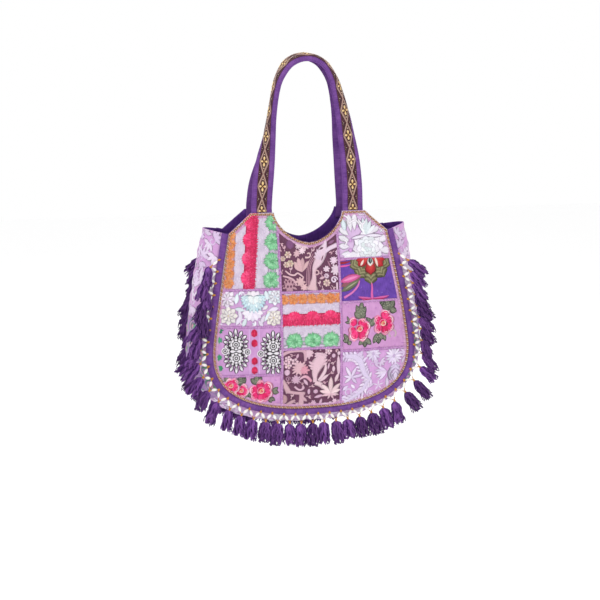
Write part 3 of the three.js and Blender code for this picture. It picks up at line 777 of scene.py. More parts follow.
def striped_ribbon(e, corner, along, length, first_flower):
    """Rows of orange tufts, silver weave, a scalloped crimson band, silver weave and green tufted flowers."""
    along = np.array(along, float) / math.hypot(*along)
    across = np.array((-along[1], along[0]))
    turn = turn_of(along)

    def at(s, t):
        return np.array(corner, float) + along * s + across * t

    orange, crimson, green = 13, 57.5, 106
    pitch = 41.0
    rows = np.arange(0, length + 8, 8.0)
    e.stroke([at(s, orange) for s in rows], 12, "d9a6b8", rise=0.25)
    e.stroke([at(s, crimson) for s in rows], 14.5, "e22a64", rise=0.6)
    e.stroke([at(s, green) for s in rows], 10, "c4b6cc", rise=0.2)
    for s in np.arange(8, length + 8, 21.0):
        e.disc(at(s, orange), 8.5, "ea8f56", rise=0.5)
        tuft(e, at(s, orange), 0.15, 0.86, 0.26, (
            (15, 22, 0.4, "f2985a f4a56c ea8a50"),
            (9, 14, 0.8, "f6b07c ee9258 f4a468")))
    for s in np.arange(first_flower - pitch, length + pitch, pitch):
        for k in range(-5, 6):
            e.petal(at(s, 56), turn - 90 + 17 * k, 18, 8, e.pick("f63a76 ee326c fc588c"), full=1.6,
                    rise=0.7, lift=0.2)
    for s in np.arange(0, length, 2.4):
        for t in (46, 50, 54, 58, 62, 66):
            e.stitch(at(s, t + e.random.uniform(-1.5, 1.5)), turn + 90 + e.random.uniform(-28, 28), 7, 2.8,
                     e.pick("f63a76 ea3069 fc5288 e2285e"), 0.35, 0.8)
    for s in np.arange(first_flower, length - 20, pitch):
        e.disc(at(s, green), 15, "74c08a", rise=0.4)
        tuft(e, at(s, green), 0.2, 0.84, 0.28, (
            (22, 34, 0.4, "86ce9a 78c48e 98dcaa"),
            (16, 26, 0.7, "96daa8 80ca96 aae4ba"),
            (9.5, 16, 1.0, "a2e0b4 8ad29e 78c48e")))
    for s in np.arange(0, length, 4.4):
        for t in (28, 32, 36, 40, 44, 74, 78, 82, 86, 90):
            e.stitch(at(s + e.random.uniform(0, 4), t), turn + e.random.uniform(-8, 8), 4.4, 1.4,
                     e.pick("efe6f0 d6c6d8 c8b4cc e8dae6"), 0.3, 0.15)


def lotus_brocade(e):
    """A pale blue lotus between white flowers and cream rosettes, with little of the mauve ground left."""
    line = "c29bcb"
    for angle in (20, 44, 68, 90, 112, 136, 160):
        e.petal((-131, -536), angle, 30, 17, e.pick("f0e8f0 ebe2ee"), full=1.4, edge=line, rise=0.3)
    for reach, width, step, colours, edge, lift in ((34, 11, 15, "c6e2ea d2e8ee bcdce6", "a9b6d2", 0.3),
                                                    (25, 9, 18, "dcedf1 e6f2f4 cfe5ec", "b0c4da", 0.6),
                                                    (16, 8, 22, "f4f8f9 e8f3f5", "bcd0dc", 0.9)):
        for angle in range(180, 361, step):
            long = reach * (0.82 + 0.18 * math.sin(math.radians(angle)) ** 2)
            e.petal((-131, -522), angle, long, width, e.pick(colours), full=1.15, edge=edge, rise=0.3,
                    lift=lift)
    for angle in (196, 220, 244, 270, 296, 320, 344):
        e.petal((-134, -551), angle, 24, 13, e.pick("f0eaf4 e9dff0"), full=1.6, edge=line, rise=0.3)
    for x, z, radius, colours, eye in ((-187, -561, 21, "ece6e2 e6e4e0 f1ece6", "d8ccb4"),
                                       (-88, -567, 20, "efe9df ece4de f3eee6", "d6c8aa"),
                                       (-189, -524, 20, "f0e6f1 eadff0", "dcc6de"),
                                       (-84, -522, 19, "deebf1 ebeef5", "c6d4e2")):
        e.flower((x, z), radius, 8, colours, eye, edge=line, full=1.5, wide=1.25, rise=0.3)
        e.flower((x, z), radius * 0.62, 7, colours, eye, edge="d5c0d4", full=1.5, rise=0.3, lift=0.4, turn=20)
    leaves = (
        # foot, tip and width
        ((-108, -560), (-116, -580), 11), ((-108, -575), (-96, -554), 9), ((-160, -560), (-170, -582), 11),
        ((-165, -545), (-158, -572), 10), ((-100, -552), (-76, -546), 12), ((-206, -540), (-200, -512), 11),
        ((-166, -512), (-170, -536), 12), ((-100, -530), (-104, -508), 12), ((-150, -550), (-172, -546), 11),
        ((-112, -550), (-100, -540), 10), ((-148, -566), (-156, -586), 11), ((-122, -572), (-112, -586), 10),
    )
    for foot, tip, width in leaves:
        e.blade(foot, tip, width, e.pick("f2ebf5 e7ddef e0ecf2"), full=1.2, edge=line)
    for x, z, angle, way in ((-156, -576, 30, 1), (-150, -548, 200, -1), (-112, -547, 320, -1),
                             (-207, -552, 90, 1)):
        e.curl((x, z), angle, 8, way * 1.1, 3.6, "f1e3f3")
    white_sprigs(e, (-215, -72, -584, -508))


def white_sprigs(e, box):
    """White leaves in threes in what is left of a ground."""
    def sprig(at):
        turn = e.random.uniform(0, 360)
        for k in (-45, 0, 45):
            e.petal(at, turn + k, 10, 5, e.pick("f3ecf7 e9dff1 e4eef4"), edge="c6a4ce", rise=0.3)

    e.fill(box, 4.5, sprig)


def medallion_brocade(e):
    """Two black and white double medallions, with crimson spots between them and green ones at the side."""
    black, white = "332a33", "f1ecf2"
    for x, top, low in ((-172.0, -624.0, -654.0), (-90.5, -630.0, -662.0)):
        for z, up in ((top, 90), (low, -90)):
            at = np.array((x, z))
            e.disc(at, 20, black, rise=0.2)
            for first, tip, taper, wide, spread, lift in ((15, 21, 0.09, 11.5, 125, 0.0),
                                                          (8, 13, 0.045, 10.5, 164, 0.45)):
                for k in range(-5, 6):
                    angle = up + spread * k / 5
                    reach = tip - taper * abs(spread * k / 5)
                    e.petal(at + heading(angle) * first, angle, reach, wide, black, full=1.3, rise=0.3,
                            lift=lift)
                    e.petal(at + heading(angle) * (first + 2), angle, reach - 3.4, wide * 0.6, white,
                            full=1.3, rise=0.35, lift=lift + 0.2)
                    e.stitch(at + heading(angle) * (first + 2), angle, 0.5 * reach, 1.7, paint(black), 0.3,
                             lift + 0.5)
            e.disc(at, 13.2, black, rise=0.4, lift=0.9)
            for angle in range(0, 360, 45):
                e.petal(at + heading(angle) * 4, angle, 8.4, 10, white, full=2.4, rise=0.3, lift=1.1)
            for radius, width, colour in ((7.3, 1.6, black), (5.2, 2.4, white), (3.1, 1.5, black)):
                e.ring(at, radius, width, colour, rise=0.3, lift=1.5)
            e.disc(at, 2, white, rise=0.3, lift=1.5)
        for angle in (0, 180):
            e.petal((x, (top + low) / 2), angle, 13, 8, white, full=1.4, rise=0.4, lift=0.5)
    for x, z in ((-196, -638), (-147, -641), (-118, -646), (-68, -647)):
        e.disc((x, z), 8.6, "4a3f4a", rise=0.3)
        e.ring((x, z), 7.0, 2.4, white, lift=0.3)
        e.ring((x, z), 3.2, 2.0, white, lift=0.3)
    for z in (-600, -622, -662, -683):
        e.disc((-131.5, z), 7.6, "d41f52", tall=1.18, rise=0.7)
        for k in range(-3, 4):
            e.stitch((-131.5 + 1.9 * k, z - 7.5), 90, 15 - abs(k), 2.2, e.pick("e4285c ee3c6e cc1c4a"), 0.5,
                     0.7)
    for x, z in ((-208, -614), (-206, -592), (-209, -652), (-207, -676)):
        e.ragged((x, z), 7.5, "3f9468 549f76 35845c", 8)
    for x in (-142, -121):
        e.stem(((x, -700), (x, -640), (x, -580)), 1.6, "ddbdea", rise=0.25)


def rose_sprays(e, roses, leaves, box, tendrils=()):
    """Crimson roses of rounded petals with pink edges, lobed grey-green leaves and tendrils."""
    for foot, tips, width in leaves:
        for i, tip in enumerate(tips):
            colour = e.pick("6a6f60 777a69 585d51")
            e.blade(foot, tip, width, colour, full=0.9, edge="44483f", rise=0.4, lift=0.08 * i)
            way = np.subtract(tip, foot)
            turn = turn_of(way)
            for share in (0.25, 0.45, 0.65):
                for sign in (-1, 1):
                    e.stitch(foot + way * share, turn + 38 * sign, width * 0.42, 1.3, e.pick("a9ab98 c0bda9"),
                             0.4, 0.7)
    for heart, radius, lobes in roses:
        heart = np.array(heart, float)
        for i, (x, z, size) in enumerate(lobes):
            at = np.array((x, z), float)
            away = turn_of(at - heart)
            e.disc(at, size * 1.26, e.pick("fda6ca fa92be"), rise=0.5, lift=0.1 * i)
            e.disc(at - heading(away) * 1.8, size * 0.98, e.pick("ec2c74 de1e62 f43c80"), rise=0.5,
                   lift=0.35 + 0.1 * i)
            for k in (-34, 34):
                e.stitch(at - heading(away) * size * 0.4, away + k, size * 1.1, 2.2, e.pick("c8124e f4629c"),
                         0.35, 0.85 + 0.1 * i)
            for reach, width, spread in ((0.8, 2.1, 62), (0.42, 1.6, 48)):
                e.ring(at, size * reach, width, e.pick("fde2ea f9b6cc"), lift=0.8 + 0.1 * i,
                       first=away - spread, last=away + spread)
        e.disc(heart, radius, "da1c5a", rise=0.5, lift=1.0)
        for reach, first, last, colour in ((0.86, 20, 230, "f786b2"), (0.56, 190, 430, "f9e0cf"),
                                           (0.28, 0, 300, "f0c98c")):
            e.ring(heart, radius * reach, radius * 0.22, colour, lift=1.4, first=first, last=last)
    dashes(e, box, 7, 7, 2.2, "dfaede c07fc6")
    for at in tendrils:
        e.ring(at, 8.5, 4.5, "c9b2b6", first=-60, last=240)


def plum_brocade_top(e):
    """Dusty pink on plum: a trunk that opens into one great leaf, a palm leaf, small flowers and vines."""
    pink, lilac = "dcb3b8 d6abb3 e2bcc2", "e6cade e0c0d8 ecd4e4"
    cream, dark = "e3cdb8 e6c8c2 dcbab5", "6b3d57"
    e.disc((-44, -411), 10.5, "80507c", rise=0.3)
    for x, z, radius in ((-25, -414, 8), (-12, -415, 10), (-18, -425, 8)):
        e.ragged((x, z), radius, "ecd0dc e8c6d4")
    e.ragged((-30, -431), 8, "e2b8c2", 7)
    e.stem(((-12, -440), (-4, -440), (0, -436), (-2, -431), (-7, -432)), (5, 4, 3.5, 3.5, 3), "e0bcc2")
    for tip, width in (((-38, -448), 11), ((-38, -456), 10), ((-29, -440), 13), ((-18, -440), 12),
                       ((-4, -447), 10)):
        e.blade((-20, -471), tip, width, e.pick(pink), full=1.4)
    for x, z, radius in ((-50, -433, 8), (-55, -454, 7), (-46, -452, 8), (-62, -441, 6)):
        e.flower((x, z), radius, 6, cream, "cfa58f", wide=1.2, rise=0.35)
    e.stem(((-58, -467), (-48, -475), (-38, -477), (-31, -473), (-24, -477), (-17, -483)),
           (3, 4.5, 4.5, 4, 4, 3), "e0bac2")
    e.stem(((-64, -478), (-50, -482), (-40, -488), (-33, -500)), (4, 5, 5, 3), "d8adb9")
    e.ragged((-50, -498), 17, "c899a8", 12, rise=0.2)
    for x, z in ((-64, -490), (-57, -491), (-50, -490), (-43, -492), (-62, -500), (-54, -501), (-47, -501),
                 (-40, -500)):
        e.disc((x, z), 2.5, dark, tall=1.2, rise=0.25, lift=0.15)
    e.ragged((-25, -492), 11, pink, 8)
    e.ragged((-17, -504), 8, pink, 7)
    for shift in (-3.4, 0, 3.4):
        e.stem(((-8 + shift, -500), (-6 + shift, -470), (-1 + shift, -451), (10 + shift, -436 - shift)),
               (2.0, 1.5), "c796a8")
    e.stem(((0, -512), (3, -498), (6, -485), (6.5, -473), (9, -462), (15, -453), (20, -445), (25, -434),
            (29, -424), (34, -413), (36, -402)),
           (34, 18, 12, 9, 13, 21, 23, 25, 22, 10, 5), "dcb5bd", "e8d0e4")
    for tip, width in (((7, -438), 9), ((10, -429), 9), ((15, -422), 9), ((22, -418), 8)):
        e.blade((22, -446), tip, width, "e4cade")
    e.stem(((32, -430), (44, -422), (62, -415)), (9, 10, 11), "e6cde2")
    e.blade((24, -448), (29, -436), 3, dark, lift=0.35)
    e.blade((21, -424), (30, -419), 5, dark, lift=0.35)
    e.ring((12.5, -473), 4.6, 3.2, "dcb5bd", lift=0.2)
    e.ragged((35, -466), 7.5, "ecd2e2", 7)
    for x, z, radius, colours in ((34, -481, 6, lilac), (34, -496, 8.5, cream)):
        e.flower((x, z), radius, 7, colours, "b98a98", wide=1.2, rise=0.35)
    e.blade((18, -487), (30, -483), 7, "d9b0be")
    e.blade((44, -462), (38, -448), 4, "a9788f")
    for x, z, radius in ((52, -448, 9), (55, -468, 12), (62, -432, 6)):
        e.ragged((x, z), radius, lilac, 9)
    e.curl((51, -490), 0, 8, 1.3, 4.6, "ecd6ea")
    e.stem(((57, -496), (57, -514)), 5, "e2c4d6")
    e.blade((42, -412), (56, -405), 7, "93628a")
    plum_leaflets(e, (-67, 61, -512, -404))


def plum_leaflets(e, box):
    """Small leaves in what is left of the plum ground."""
    def leaflet(at):
        turn = e.random.uniform(0, 360)
        colour = e.pick("d8aebb cfa2b2 e0bac6")
        e.petal(at, turn, 7.5, 4, colour, bend=0.25, rise=0.3)
        e.petal(at, turn + 75, 6, 3.2, colour, bend=-0.2, rise=0.3)
        e.petal(at, turn + 200, 6, 2, colour, bend=0.4, rise=0.3)

    e.fill(box, 4.2, leaflet)


def plum_brocade_low(e):
    """The same cloth cut at another place: a tall leaf, a lily, ragged and small flowers and branches."""
    pink, lilac, dark = "e6bfcb e0b6c4 ecc9d4", "dcb6cc d6adc6 e4c2d4", "6b3d57"
    e.stem(((-74, -672), (-72, -654), (-58, -645), (-38, -642), (-20, -645), (-18, -666)),
           (8, 9, 8, 8, 10, 7), "d3a8b8")
    e.blade((-38, -660), (-34, -649), 6.5, "d6aac0")
    for x, z, radius, eye in ((-57, -661, 8.5, "f2d8e2"), (-57, -675, 8.5, "ead8c0"),
                              (-68, -669, 5, "e6c2d0"), (-42, -667, 8.5, dark), (34, -646, 8.5, "f4e2e8")):
        e.flower((x, z), radius, 5, "ecc8d6 e6c0ce", eye, full=1.6, wide=1.15, rise=0.35)
    e.disc((-59, -691), 7.2, "deb8d0", rise=0.4)
    e.ragged((-31, -682), 18, "e8bcc8", 13)
    e.ragged((-20, -687), 11, "dc98ac", 8, lift=0.3)
    e.ragged((-39, -708), 11, lilac, 10)
    e.curl((-57, -706), 0, 6, 1.3, 2.6, "b58aa4")
    e.stem(((-30, -707), (-21, -702), (-13, -704), (-4, -714)), (4, 7, 8, 7), "e8bccd", "dc98b0")
    e.blade((-12, -722), (-22, -708), 8, lilac.split()[0])
    e.stem(((-42, -724), (-34, -731), (-27, -732), (-22, -728), (-24, -724)), (5, 5, 5, 6, 6), "deb4ca")
    e.stem(((-82, -698), (-70, -712), (-60, -727), (-55, -738)), (10, 14, 13, 14), "d2aab4")
    e.blade((-66, -724), (-74, -710), 3, dark, lift=0.35)
    e.stem(((-58, -735), (-40, -739), (-18, -741)), (9, 8, 8), "d2a8b6")
    e.stem(((-26, -738), (-26, -754), (-27, -776)), (13, 12, 17), "d2a8b6")
    e.blade((-28, -748), (-13, -760), 9, "d2a8b6")
    e.disc((-66, -753), 9.5, "bf959c", tall=1.2)
    e.stem(((-62, -770), (-48, -760), (-40, -756)), (10, 9, 5), "c79eaa")
    e.stem(((-60, -774), (-38, -773)), 7, "c79eaa")
    e.disc((-9.5, -737), 3.6, "dab3cd", tall=1.8)
    e.disc((6, -737.5), 6.2, "d6aec8", tall=0.8)
    e.blade((3, -752), (22, -746), 8, "d6aec8", bend=0.1)
    e.ragged((2, -764), 6, lilac, 6)
    e.blade((16, -770), (20, -755), 7, lilac.split()[1])
    e.stem(((20, -770), (28, -767), (35, -771)), 4, "ecd0e2")
    e.ragged((-10, -650), 12, "e2bccc", 9)
    e.ragged((13, -653), 11, "e4c0d0", 9)
    e.ragged((25, -657), 7, "e4c0d0", 7)
    e.blade((0, -645), (26, -648), 5, dark, lift=0.4)
    e.stem(((4, -716), (4, -706), (4, -696), (7, -685), (11, -673), (16, -664), (17, -656)),
           (11, 11, 17, 24, 34, 28, 14), "e4bfcd", rise=0.45)
    for foot, tip in (((2, -676), (-11, -668)), ((2, -681), (-12, -676)), ((3, -686), (-8, -683)),
                      ((20, -672), (32, -664)), ((20, -677), (32, -672)), ((14, -664), (12, -650))):
        e.blade(foot, tip, 7, "e2bccb")
    for shift in (0, 4):
        e.stem(((9 + shift / 2, -706), (12 + shift, -697), (19 + shift / 2, -687)), (1.2, 2.6, 1), "84546e",
               lift=0.45)
    e.stem(((11, -712), (22, -699), (27, -688), (28, -674)), (4, 9, 8, 3), "ecccd8", lift=0.25)
    e.stem(((4, -717), (16, -722), (28, -733), (38, -742)), (12, 12, 10, 6), "e8c6d0", lift=0.1)
    e.blade((12, -716), (35, -699), 9, "e8c8d4")
    for tip, width in (((40, -705), 12), ((19, -722), 11), ((62, -721), 11), ((15, -737), 10),
                       ((63, -735), 10)):
        e.blade((40, -743), tip, width, e.pick("ecccd2 f0d4d8"), full=1.1, edge="8a5a72", lift=0.3)
    for tip in ((27, -750), (53, -750), (34, -757), (47, -757), (18, -750), (60, -748)):
        e.blade((40, -743), tip, 5.5, e.pick(pink), lift=0.2)
    e.blade((50, -718), (57, -698), 9, "e8c8d4")
    e.blade((58, -705), (56, -656), 11, "e2c0d2", bend=0.06)
    e.blade((46, -694), (46, -680), 8, lilac.split()[2])
    e.blade((33, -688), (36, -672), 5, lilac.split()[0])
    e.disc((46, -657), 4.8, "deb8d0")
    e.disc((58, -652), 4.5, "e4c2d4")
    for x, z, radius in ((50, -762, 6), (60, -764, 5), (40, -768, 5)):
        e.ragged((x, z), radius, lilac, 6)
    plum_leaflets(e, (-67, 61, -776, -642))


def peony_brocade(e):
    """A wide white peony under upright leaves and scrolls, with thin lines of the mauve ground between."""
    line, white = "c4a0cc", "efe8f4 eae6f1 f3eef7"
    leaves = (
        # foot, tip and width
        ((120, -440), (70, -436), 20), ((90, -420), (66, -418), 15), ((92, -408), (66, -398), 15),
        ((90, -396), (68, -378), 15), ((84, -386), (76, -358), 15), ((160, -430), (186, -430), 20),
        ((150, -410), (182, -400), 18), ((96, -388), (90, -348), 15), ((104, -386), (104, -346), 15),
        ((140, -392), (160, -378), 14), ((92, -436), (76, -446), 12),
    )
    for foot, tip, width in leaves:
        e.blade(foot, tip, width, e.pick(white), full=1.2, edge=line, rise=0.3)
    for tip, width in (((112, -360), 11), ((122, -358), 11), ((131, -358), 11), ((141, -364), 11),
                       ((151, -374), 11)):
        e.blade((129, -398), tip, width, e.pick("e4eef3 eef0f6"), full=1.1, edge=line, rise=0.3, lift=0.2)
    for reach, width, step, colours, lift, edge in ((36, 26, 36, white, 0.2, line),
                                                    (27, 21, 40, "f1edf6 e9ecf2", 0.5, "cdb9d4"),
                                                    (18, 15, 45, "e6eff1 eef0f5", 0.8, "c3bfce"),
                                                    (10, 9, 60, "dfe9ec e8e4ee", 1.1, "bdb8c8")):
        for angle in range(round(reach) % 30, 360, step):
            e.petal((133, -423), angle, reach, width, e.pick(colours), full=1.7, edge=edge, rise=0.3,
                    lift=lift)
    for tip in ((96, -403), (166, -398)):
        e.blade((128, -397), tip, 8, "ece4f2", full=1.1, edge=line, lift=0.8)
    for places in (((90, -371), (99, -365), (107, -363), (116, -373)),
                   ((113, -364), (122, -372), (129, -365)), ((122, -372), (121, -381)),
                   ((76, -404), (84, -410), (78, -420)), ((80, -352), (88, -357), (92, -364))):
        e.stem(places, (3, 4.6, 3), "f7f0f9", lift=0.9, rise=0.35)
    e.blade((82, -386), (77, -361), 13, "dce8ef", lift=0.5)
    for x, z, radius in ((92, -428, 5), (93, -407, 4), (110, -377, 3)):
        e.disc((x, z), radius, "d2a2d8", rise=0.2, lift=0.75)
    white_sprigs(e, (66, 200, -444, -345))


def bloom_brocade(e):
    """Half of a great flower in red and olive scallops, with a pink leaf and a pink stem, on violet."""
    heart = np.array((136.0, -441.0))
    for i, (share, colour) in enumerate(((1.0, "5d583f"), (0.93, "8f8965"), (0.86, "6b664a"),
                                         (0.79, "9a9470"), (0.72, "77714f"), (0.65, "938d69"),
                                         (0.58, "5f5a3e"))):
        for angle, reach in ((182, 49), (206, 54), (236, 59), (270, 65), (304, 59), (334, 52), (358, 47)):
            e.petal(heart, angle, reach * share, 38 * share, colour, full=2.2, rise=0.3, lift=0.16 * i)
    for angle, length, width in ((216, 35, 21), (322, 37, 21), (196, 33, 17), (344, 35, 17), (270, 41, 27)):
        e.petal(heart, angle, length, width, "c9343a", "b8222c", full=1.7, edge="7d2a26", rise=0.4, lift=1.15)
        e.petal(heart, angle, length - 5, width * 0.55, "dd5a52", "c42a32", full=1.7, rise=0.3, lift=1.55)
    e.blade((147, -443), (153, -466), 6.5, "f0d8cc", full=1.0, lift=1.9)
    e.blade((121, -449), (113, -462), 6, "f2ddd4", full=1.2, lift=1.9)
    e.petal(heart, 269, 23, 15, "efe6e2", full=1.4, rise=0.4, lift=1.9)
    e.petal(heart + (0, -2), 269, 16, 9, "3c4a4a", full=1.4, rise=0.3, lift=2.3)
    e.petal(heart + (1, -4), 269, 10, 2.6, "93a09b", full=1.3, rise=0.3, lift=2.6)
    e.blade((112, -485), (66, -506), 25, "8d5560", lift=0.1)
    e.blade((112, -483), (64, -496), 19, "da5c9e", bend=0.06, lift=0.35)
    e.blade((106, -484), (70, -494), 8, "ee8ac0", bend=0.06, lift=0.75)
    e.blade((110, -491), (66, -517), 17, "6e7058", bend=0.05, lift=0.15)
    e.blade((104, -495), (74, -512), 3.4, "a9ab8c", bend=0.05, lift=0.55)
    e.stem(((109, -494), (104, -506), (91, -519), (72, -530)), (3, 5, 5, 6), "df78bc", lift=0.3)
    for z, width, colour in ((-448, 6, "e07cb8"), (-455, 6, "9c2438"), (-462, 4.5, "e45aa8")):
        e.stem(((64, z), (78, z + 1), (90, z + 3)), (width, width, 2), colour)
    e.stem(((137, -499), (138, -512), (137, -524), (138, -540)), (4, 5, 6, 8), "dd62ac")
    for tip, bend in (((112, -535), -0.15), ((166, -534), 0.15), ((104, -529), -0.2), ((178, -530), 0.2)):
        e.blade((138, -534), tip, 6.5, "d662a8", bend=bend)
        e.blade((138, -535), np.add(tip, (0, -3)), 3, "b02860", bend=bend, lift=0.3)
    dashes(e, (66, 222, -538, -448), 6, 8, 2.4, "8660c4 5a3894")


def damask_ground(e, box, size=1.0):
    """Pale sprigs and scrolls on mauve, tone on tone, wherever there is room."""
    def sprig(at):
        turn = e.random.uniform(0, 360)
        colour = e.pick("e4cfec dcc4e6 ecdaf2")
        for k in (-66, -22, 22, 66):
            e.petal(at, turn + k, 13 * size, 6.5 * size, colour, bend=0.15, edge="c096c6", rise=0.3)
        if e.random.random() < 0.4:
            e.curl(at - heading(turn) * 6 * size, turn, 7 * size, 1.0, 3 * size, colour, rise=0.3)

    e.fill(box, 5.5 * size, sprig)


def damask_brocade(e):
    """A great plume, a ragged flower on each side of it, a paisley, a star and scrolls, pale on mauve."""
    pale, line = "e6d4f0 dfcaea eedff5", "c39ac9"
    plumes = (
        # line, its widths, how far the feathers turn from it
        (((72, -660), (92, -662), (106, -672), (112, -688), (119, -704), (130, -715)),
         (10, 15, 18, 17, 14, 7), 128),
        (((132, -714), (121, -727), (113, -741), (92, -756), (72, -768)), (7, 10, 10, 10, 6), 52),
    )
    for places, widths, turned in plumes:
        for at, way in zip(*along_path(smooth_line(places), 8)):
            turn = turn_of(way)
            for sign in (-1, 1):
                e.petal(at, turn + sign * turned, 16, 7, e.pick(pale), bend=-0.15 * sign, edge=line, rise=0.3)
        e.stem(places, widths, "ddcdea", lift=0.3)
    for foot, tip, width in (((106, -670), (112, -646), 10), ((100, -668), (97, -652), 9),
                             ((92, -666), (84, -650), 9), ((84, -664), (68, -660), 10),
                             ((110, -676), (124, -664), 8), ((80, -662), (72, -650), 8)):
        e.blade(foot, tip, width, e.pick(pale))
    for tip, width in (((74, -684), 9), ((98, -686), 9), ((112, -706), 9), ((70, -706), 7), ((72, -722), 8),
                       ((100, -724), 8)):
        e.blade((87, -709), tip, width, e.pick(pale), edge=line)
    for x, z, radius, petals in ((138, -658, 18, 11), (187, -666, 21, 14)):
        e.flower((x, z), radius, petals, "e6d8f0 e0d0ec ecdff3", "c9b0d6", edge=line, full=1.1, wide=1.15,
                 rise=0.35)
    for size, colour in ((1.0, "dccce8"), (0.9, "bfa8cc"), (0.86, "d8c8e5"), (0.6, "c3a4cd"),
                         (0.54, "dccbe7"), (0.36, "bba4c9"), (0.3, "dfd0ea")):
        e.petal((191, -713 - 26 * size), 91, 58 * size, 44 * size, colour, full=1.25, rise=0.25,
                lift=1.2 * (1 - size))
    for tip in ((148, -688), (142, -696), (141, -705), (145, -714), (152, -721)):
        e.blade((170, -700), tip, 8, e.pick(pale), edge=line)
    for angle in range(20, 380, 72):
        e.petal((151, -731), angle, 13, 3.6, "e8daf1", rise=0.35)
    leaves = (
        # foot, tip and width
        ((172, -741), (170, -714), 10), ((160, -744), (168, -752), 8), ((148, -748), (160, -764), 8),
        ((80, -728), (68, -740), 9), ((96, -736), (86, -726), 8), ((104, -762), (88, -774), 9),
        ((112, -752), (118, -770), 8), ((76, -752), (66, -758), 8), ((140, -726), (128, -736), 7),
        ((178, -742), (186, -752), 8), ((205, -684), (213, -668), 8), ((210, -705), (214, -690), 7),
    )
    for foot, tip, width in leaves:
        e.blade(foot, tip, width, e.pick(pale), bend=0.12, edge=line)
    e.curl((131, -751), 0, 9, 1.4, 4, "e2d2ec")
    e.ring((81, -743), 7, 4, "dccbe7", first=-30, last=250)
    damask_ground(e, (68, 222, -775, -651))


# Satin stitch: threads that lie side by side, with a few that catch the light
STITCH, given, wanted = node_group(
    "Shader", "satin_stitch", {"Place": "Vector", "Stitches": "Float"}, {"Height": "Float", "Shade": "Float"})
lengthways = scaled(STITCH, given["Place"], given["Stitches"])
uneven = node(STITCH, "ShaderNodeTexNoise", {"Vector": lengthways, "Scale": 0.35, "Detail": 2.0})
split = node(STITCH, "ShaderNodeSeparateXYZ", {0: lengthways})
slant = calculated(STITCH, "MULTIPLY_ADD", split.outputs[1], 0.6, split.outputs[0])
wander = calculated(STITCH, "MULTIPLY_ADD", uneven.outputs["Fac"], 2.0, slant)
wave = calculated(STITCH, "SINE", calculated(STITCH, "MULTIPLY", wander, math.pi))
ridge = calculated(STITCH, "ABSOLUTE", wave)
shade = node(STITCH, "ShaderNodeMapRange", {"Value": ridge, "To Min": 0.66, "To Max": 1.06})
STITCH.links.new(ridge, wanted["Height"])
STITCH.links.new(shade.outputs[0], wanted["Shade"])


def thread_work(name, stitches=900.0, rough=0.5, sheen=0.06, metal=0.0):
    """Thread in the colours of its strokes."""
    material, tree, shader = new_material(name)
    place = node(tree, "ShaderNodeUVMap", uv_map="cloth")
    satin = node(tree, "ShaderNodeGroup", {"Place": place.outputs[0], "Stitches": stitches}, node_tree=STITCH)
    dyed = node(tree, "ShaderNodeAttribute", attribute_name="thread")
    gloss = node(tree, "ShaderNodeMapRange", {
        "Value": satin.outputs["Height"], "To Min": rough + 0.2, "To Max": rough})
    bump = node(tree, "ShaderNodeBump", {
        "Strength": 0.6, "Distance": 0.0004, "Height": satin.outputs["Height"]})
    feed(tree, shader, {
        "Base Color": scaled(tree, dyed.outputs["Color"], satin.outputs["Shade"]),
        "Roughness": gloss.outputs[0], "Normal": bump.outputs[0], "Metallic": metal,
        "Sheen Weight": sheen, "Specular IOR Level": 0.25})
    return material


embroidery_thread = thread_work("embroidery_thread")
BROCADES = {
    cloth: woven_cloth(f"{cloth}_weave", light, dark, 2200.0, 70.0, rough, sheen=0.06, depth=0.0002)
    for cloth, (light, dark, rough) in GROUNDS.items()
}
PATCHWORK = panel_outline(0, PATCHWORK_EDGE)
LEFT_ROSES = (
    # heart, radius, and the places and radii of the outer petals
    ((-184, -716), 8, ((-196, -718, 8), (-176, -709, 9), (-174, -722, 9), (-190, -726, 8), (-188, -707, 7))),
    ((-161, -728), 7, ((-170, -731, 7), (-152, -731, 8), (-160, -737, 7), (-156, -720, 7))),
    ((-117, -730), 10, ((-134, -728, 10), (-120, -715, 9), (-103, -722, 11), (-100, -738, 8), (-118, -747, 9),
                        (-132, -742, 8), (-108, -745, 9))),
)
LEFT_LEAVES = (
    # foot, tips and width
    ((-162, -716), ((-152, -698), (-163, -694), (-175, -700)), 13),
    ((-126, -714), ((-116, -699), (-128, -694), (-140, -702)), 12),
    ((-196, -706), ((-207, -697), (-190, -695)), 11),
    ((-146, -733), ((-152, -746), (-140, -744)), 9),
    ((-92, -734), ((-80, -724), (-78, -736)), 10),
    ((-98, -746), ((-86, -754), (-94, -758)), 10),
)
RIGHT_ROSES = (
    ((106, -600), 10, ((91, -584, 9), (112, -586, 9), (122, -595, 9), (119, -608, 8), (113, -617, 10),
                       (93, -614, 11), (88, -602, 7))),
    ((161, -590), 10, ((167, -571, 11), (149, -584, 10), (177, -584, 9), (150, -602, 9), (166, -607, 9),
                       (178, -600, 8))),
)
RIGHT_LEAVES = (
    ((108, -577), ((100, -548), (113, -540), (121, -552), (96, -563), (120, -566)), 13),
    ((178, -560), ((154, -541), (170, -537), (188, -540), (193, -566), (160, -553)), 15),
    ((141, -592), ((121, -576), (126, -590), (138, -578)), 10),
    ((80, -626), ((70, -610), (68, -624), (84, -634)), 10),
    ((118, -622), ((104, -636), (118, -642), (132, -636)), 12),
    ((150, -612), ((138, -634), (150, -636), (160, -626)), 14),
    ((162, -614), ((166, -630),), 9),
    ((84, -586), ((78, -572), (74, -584)), 5),
)
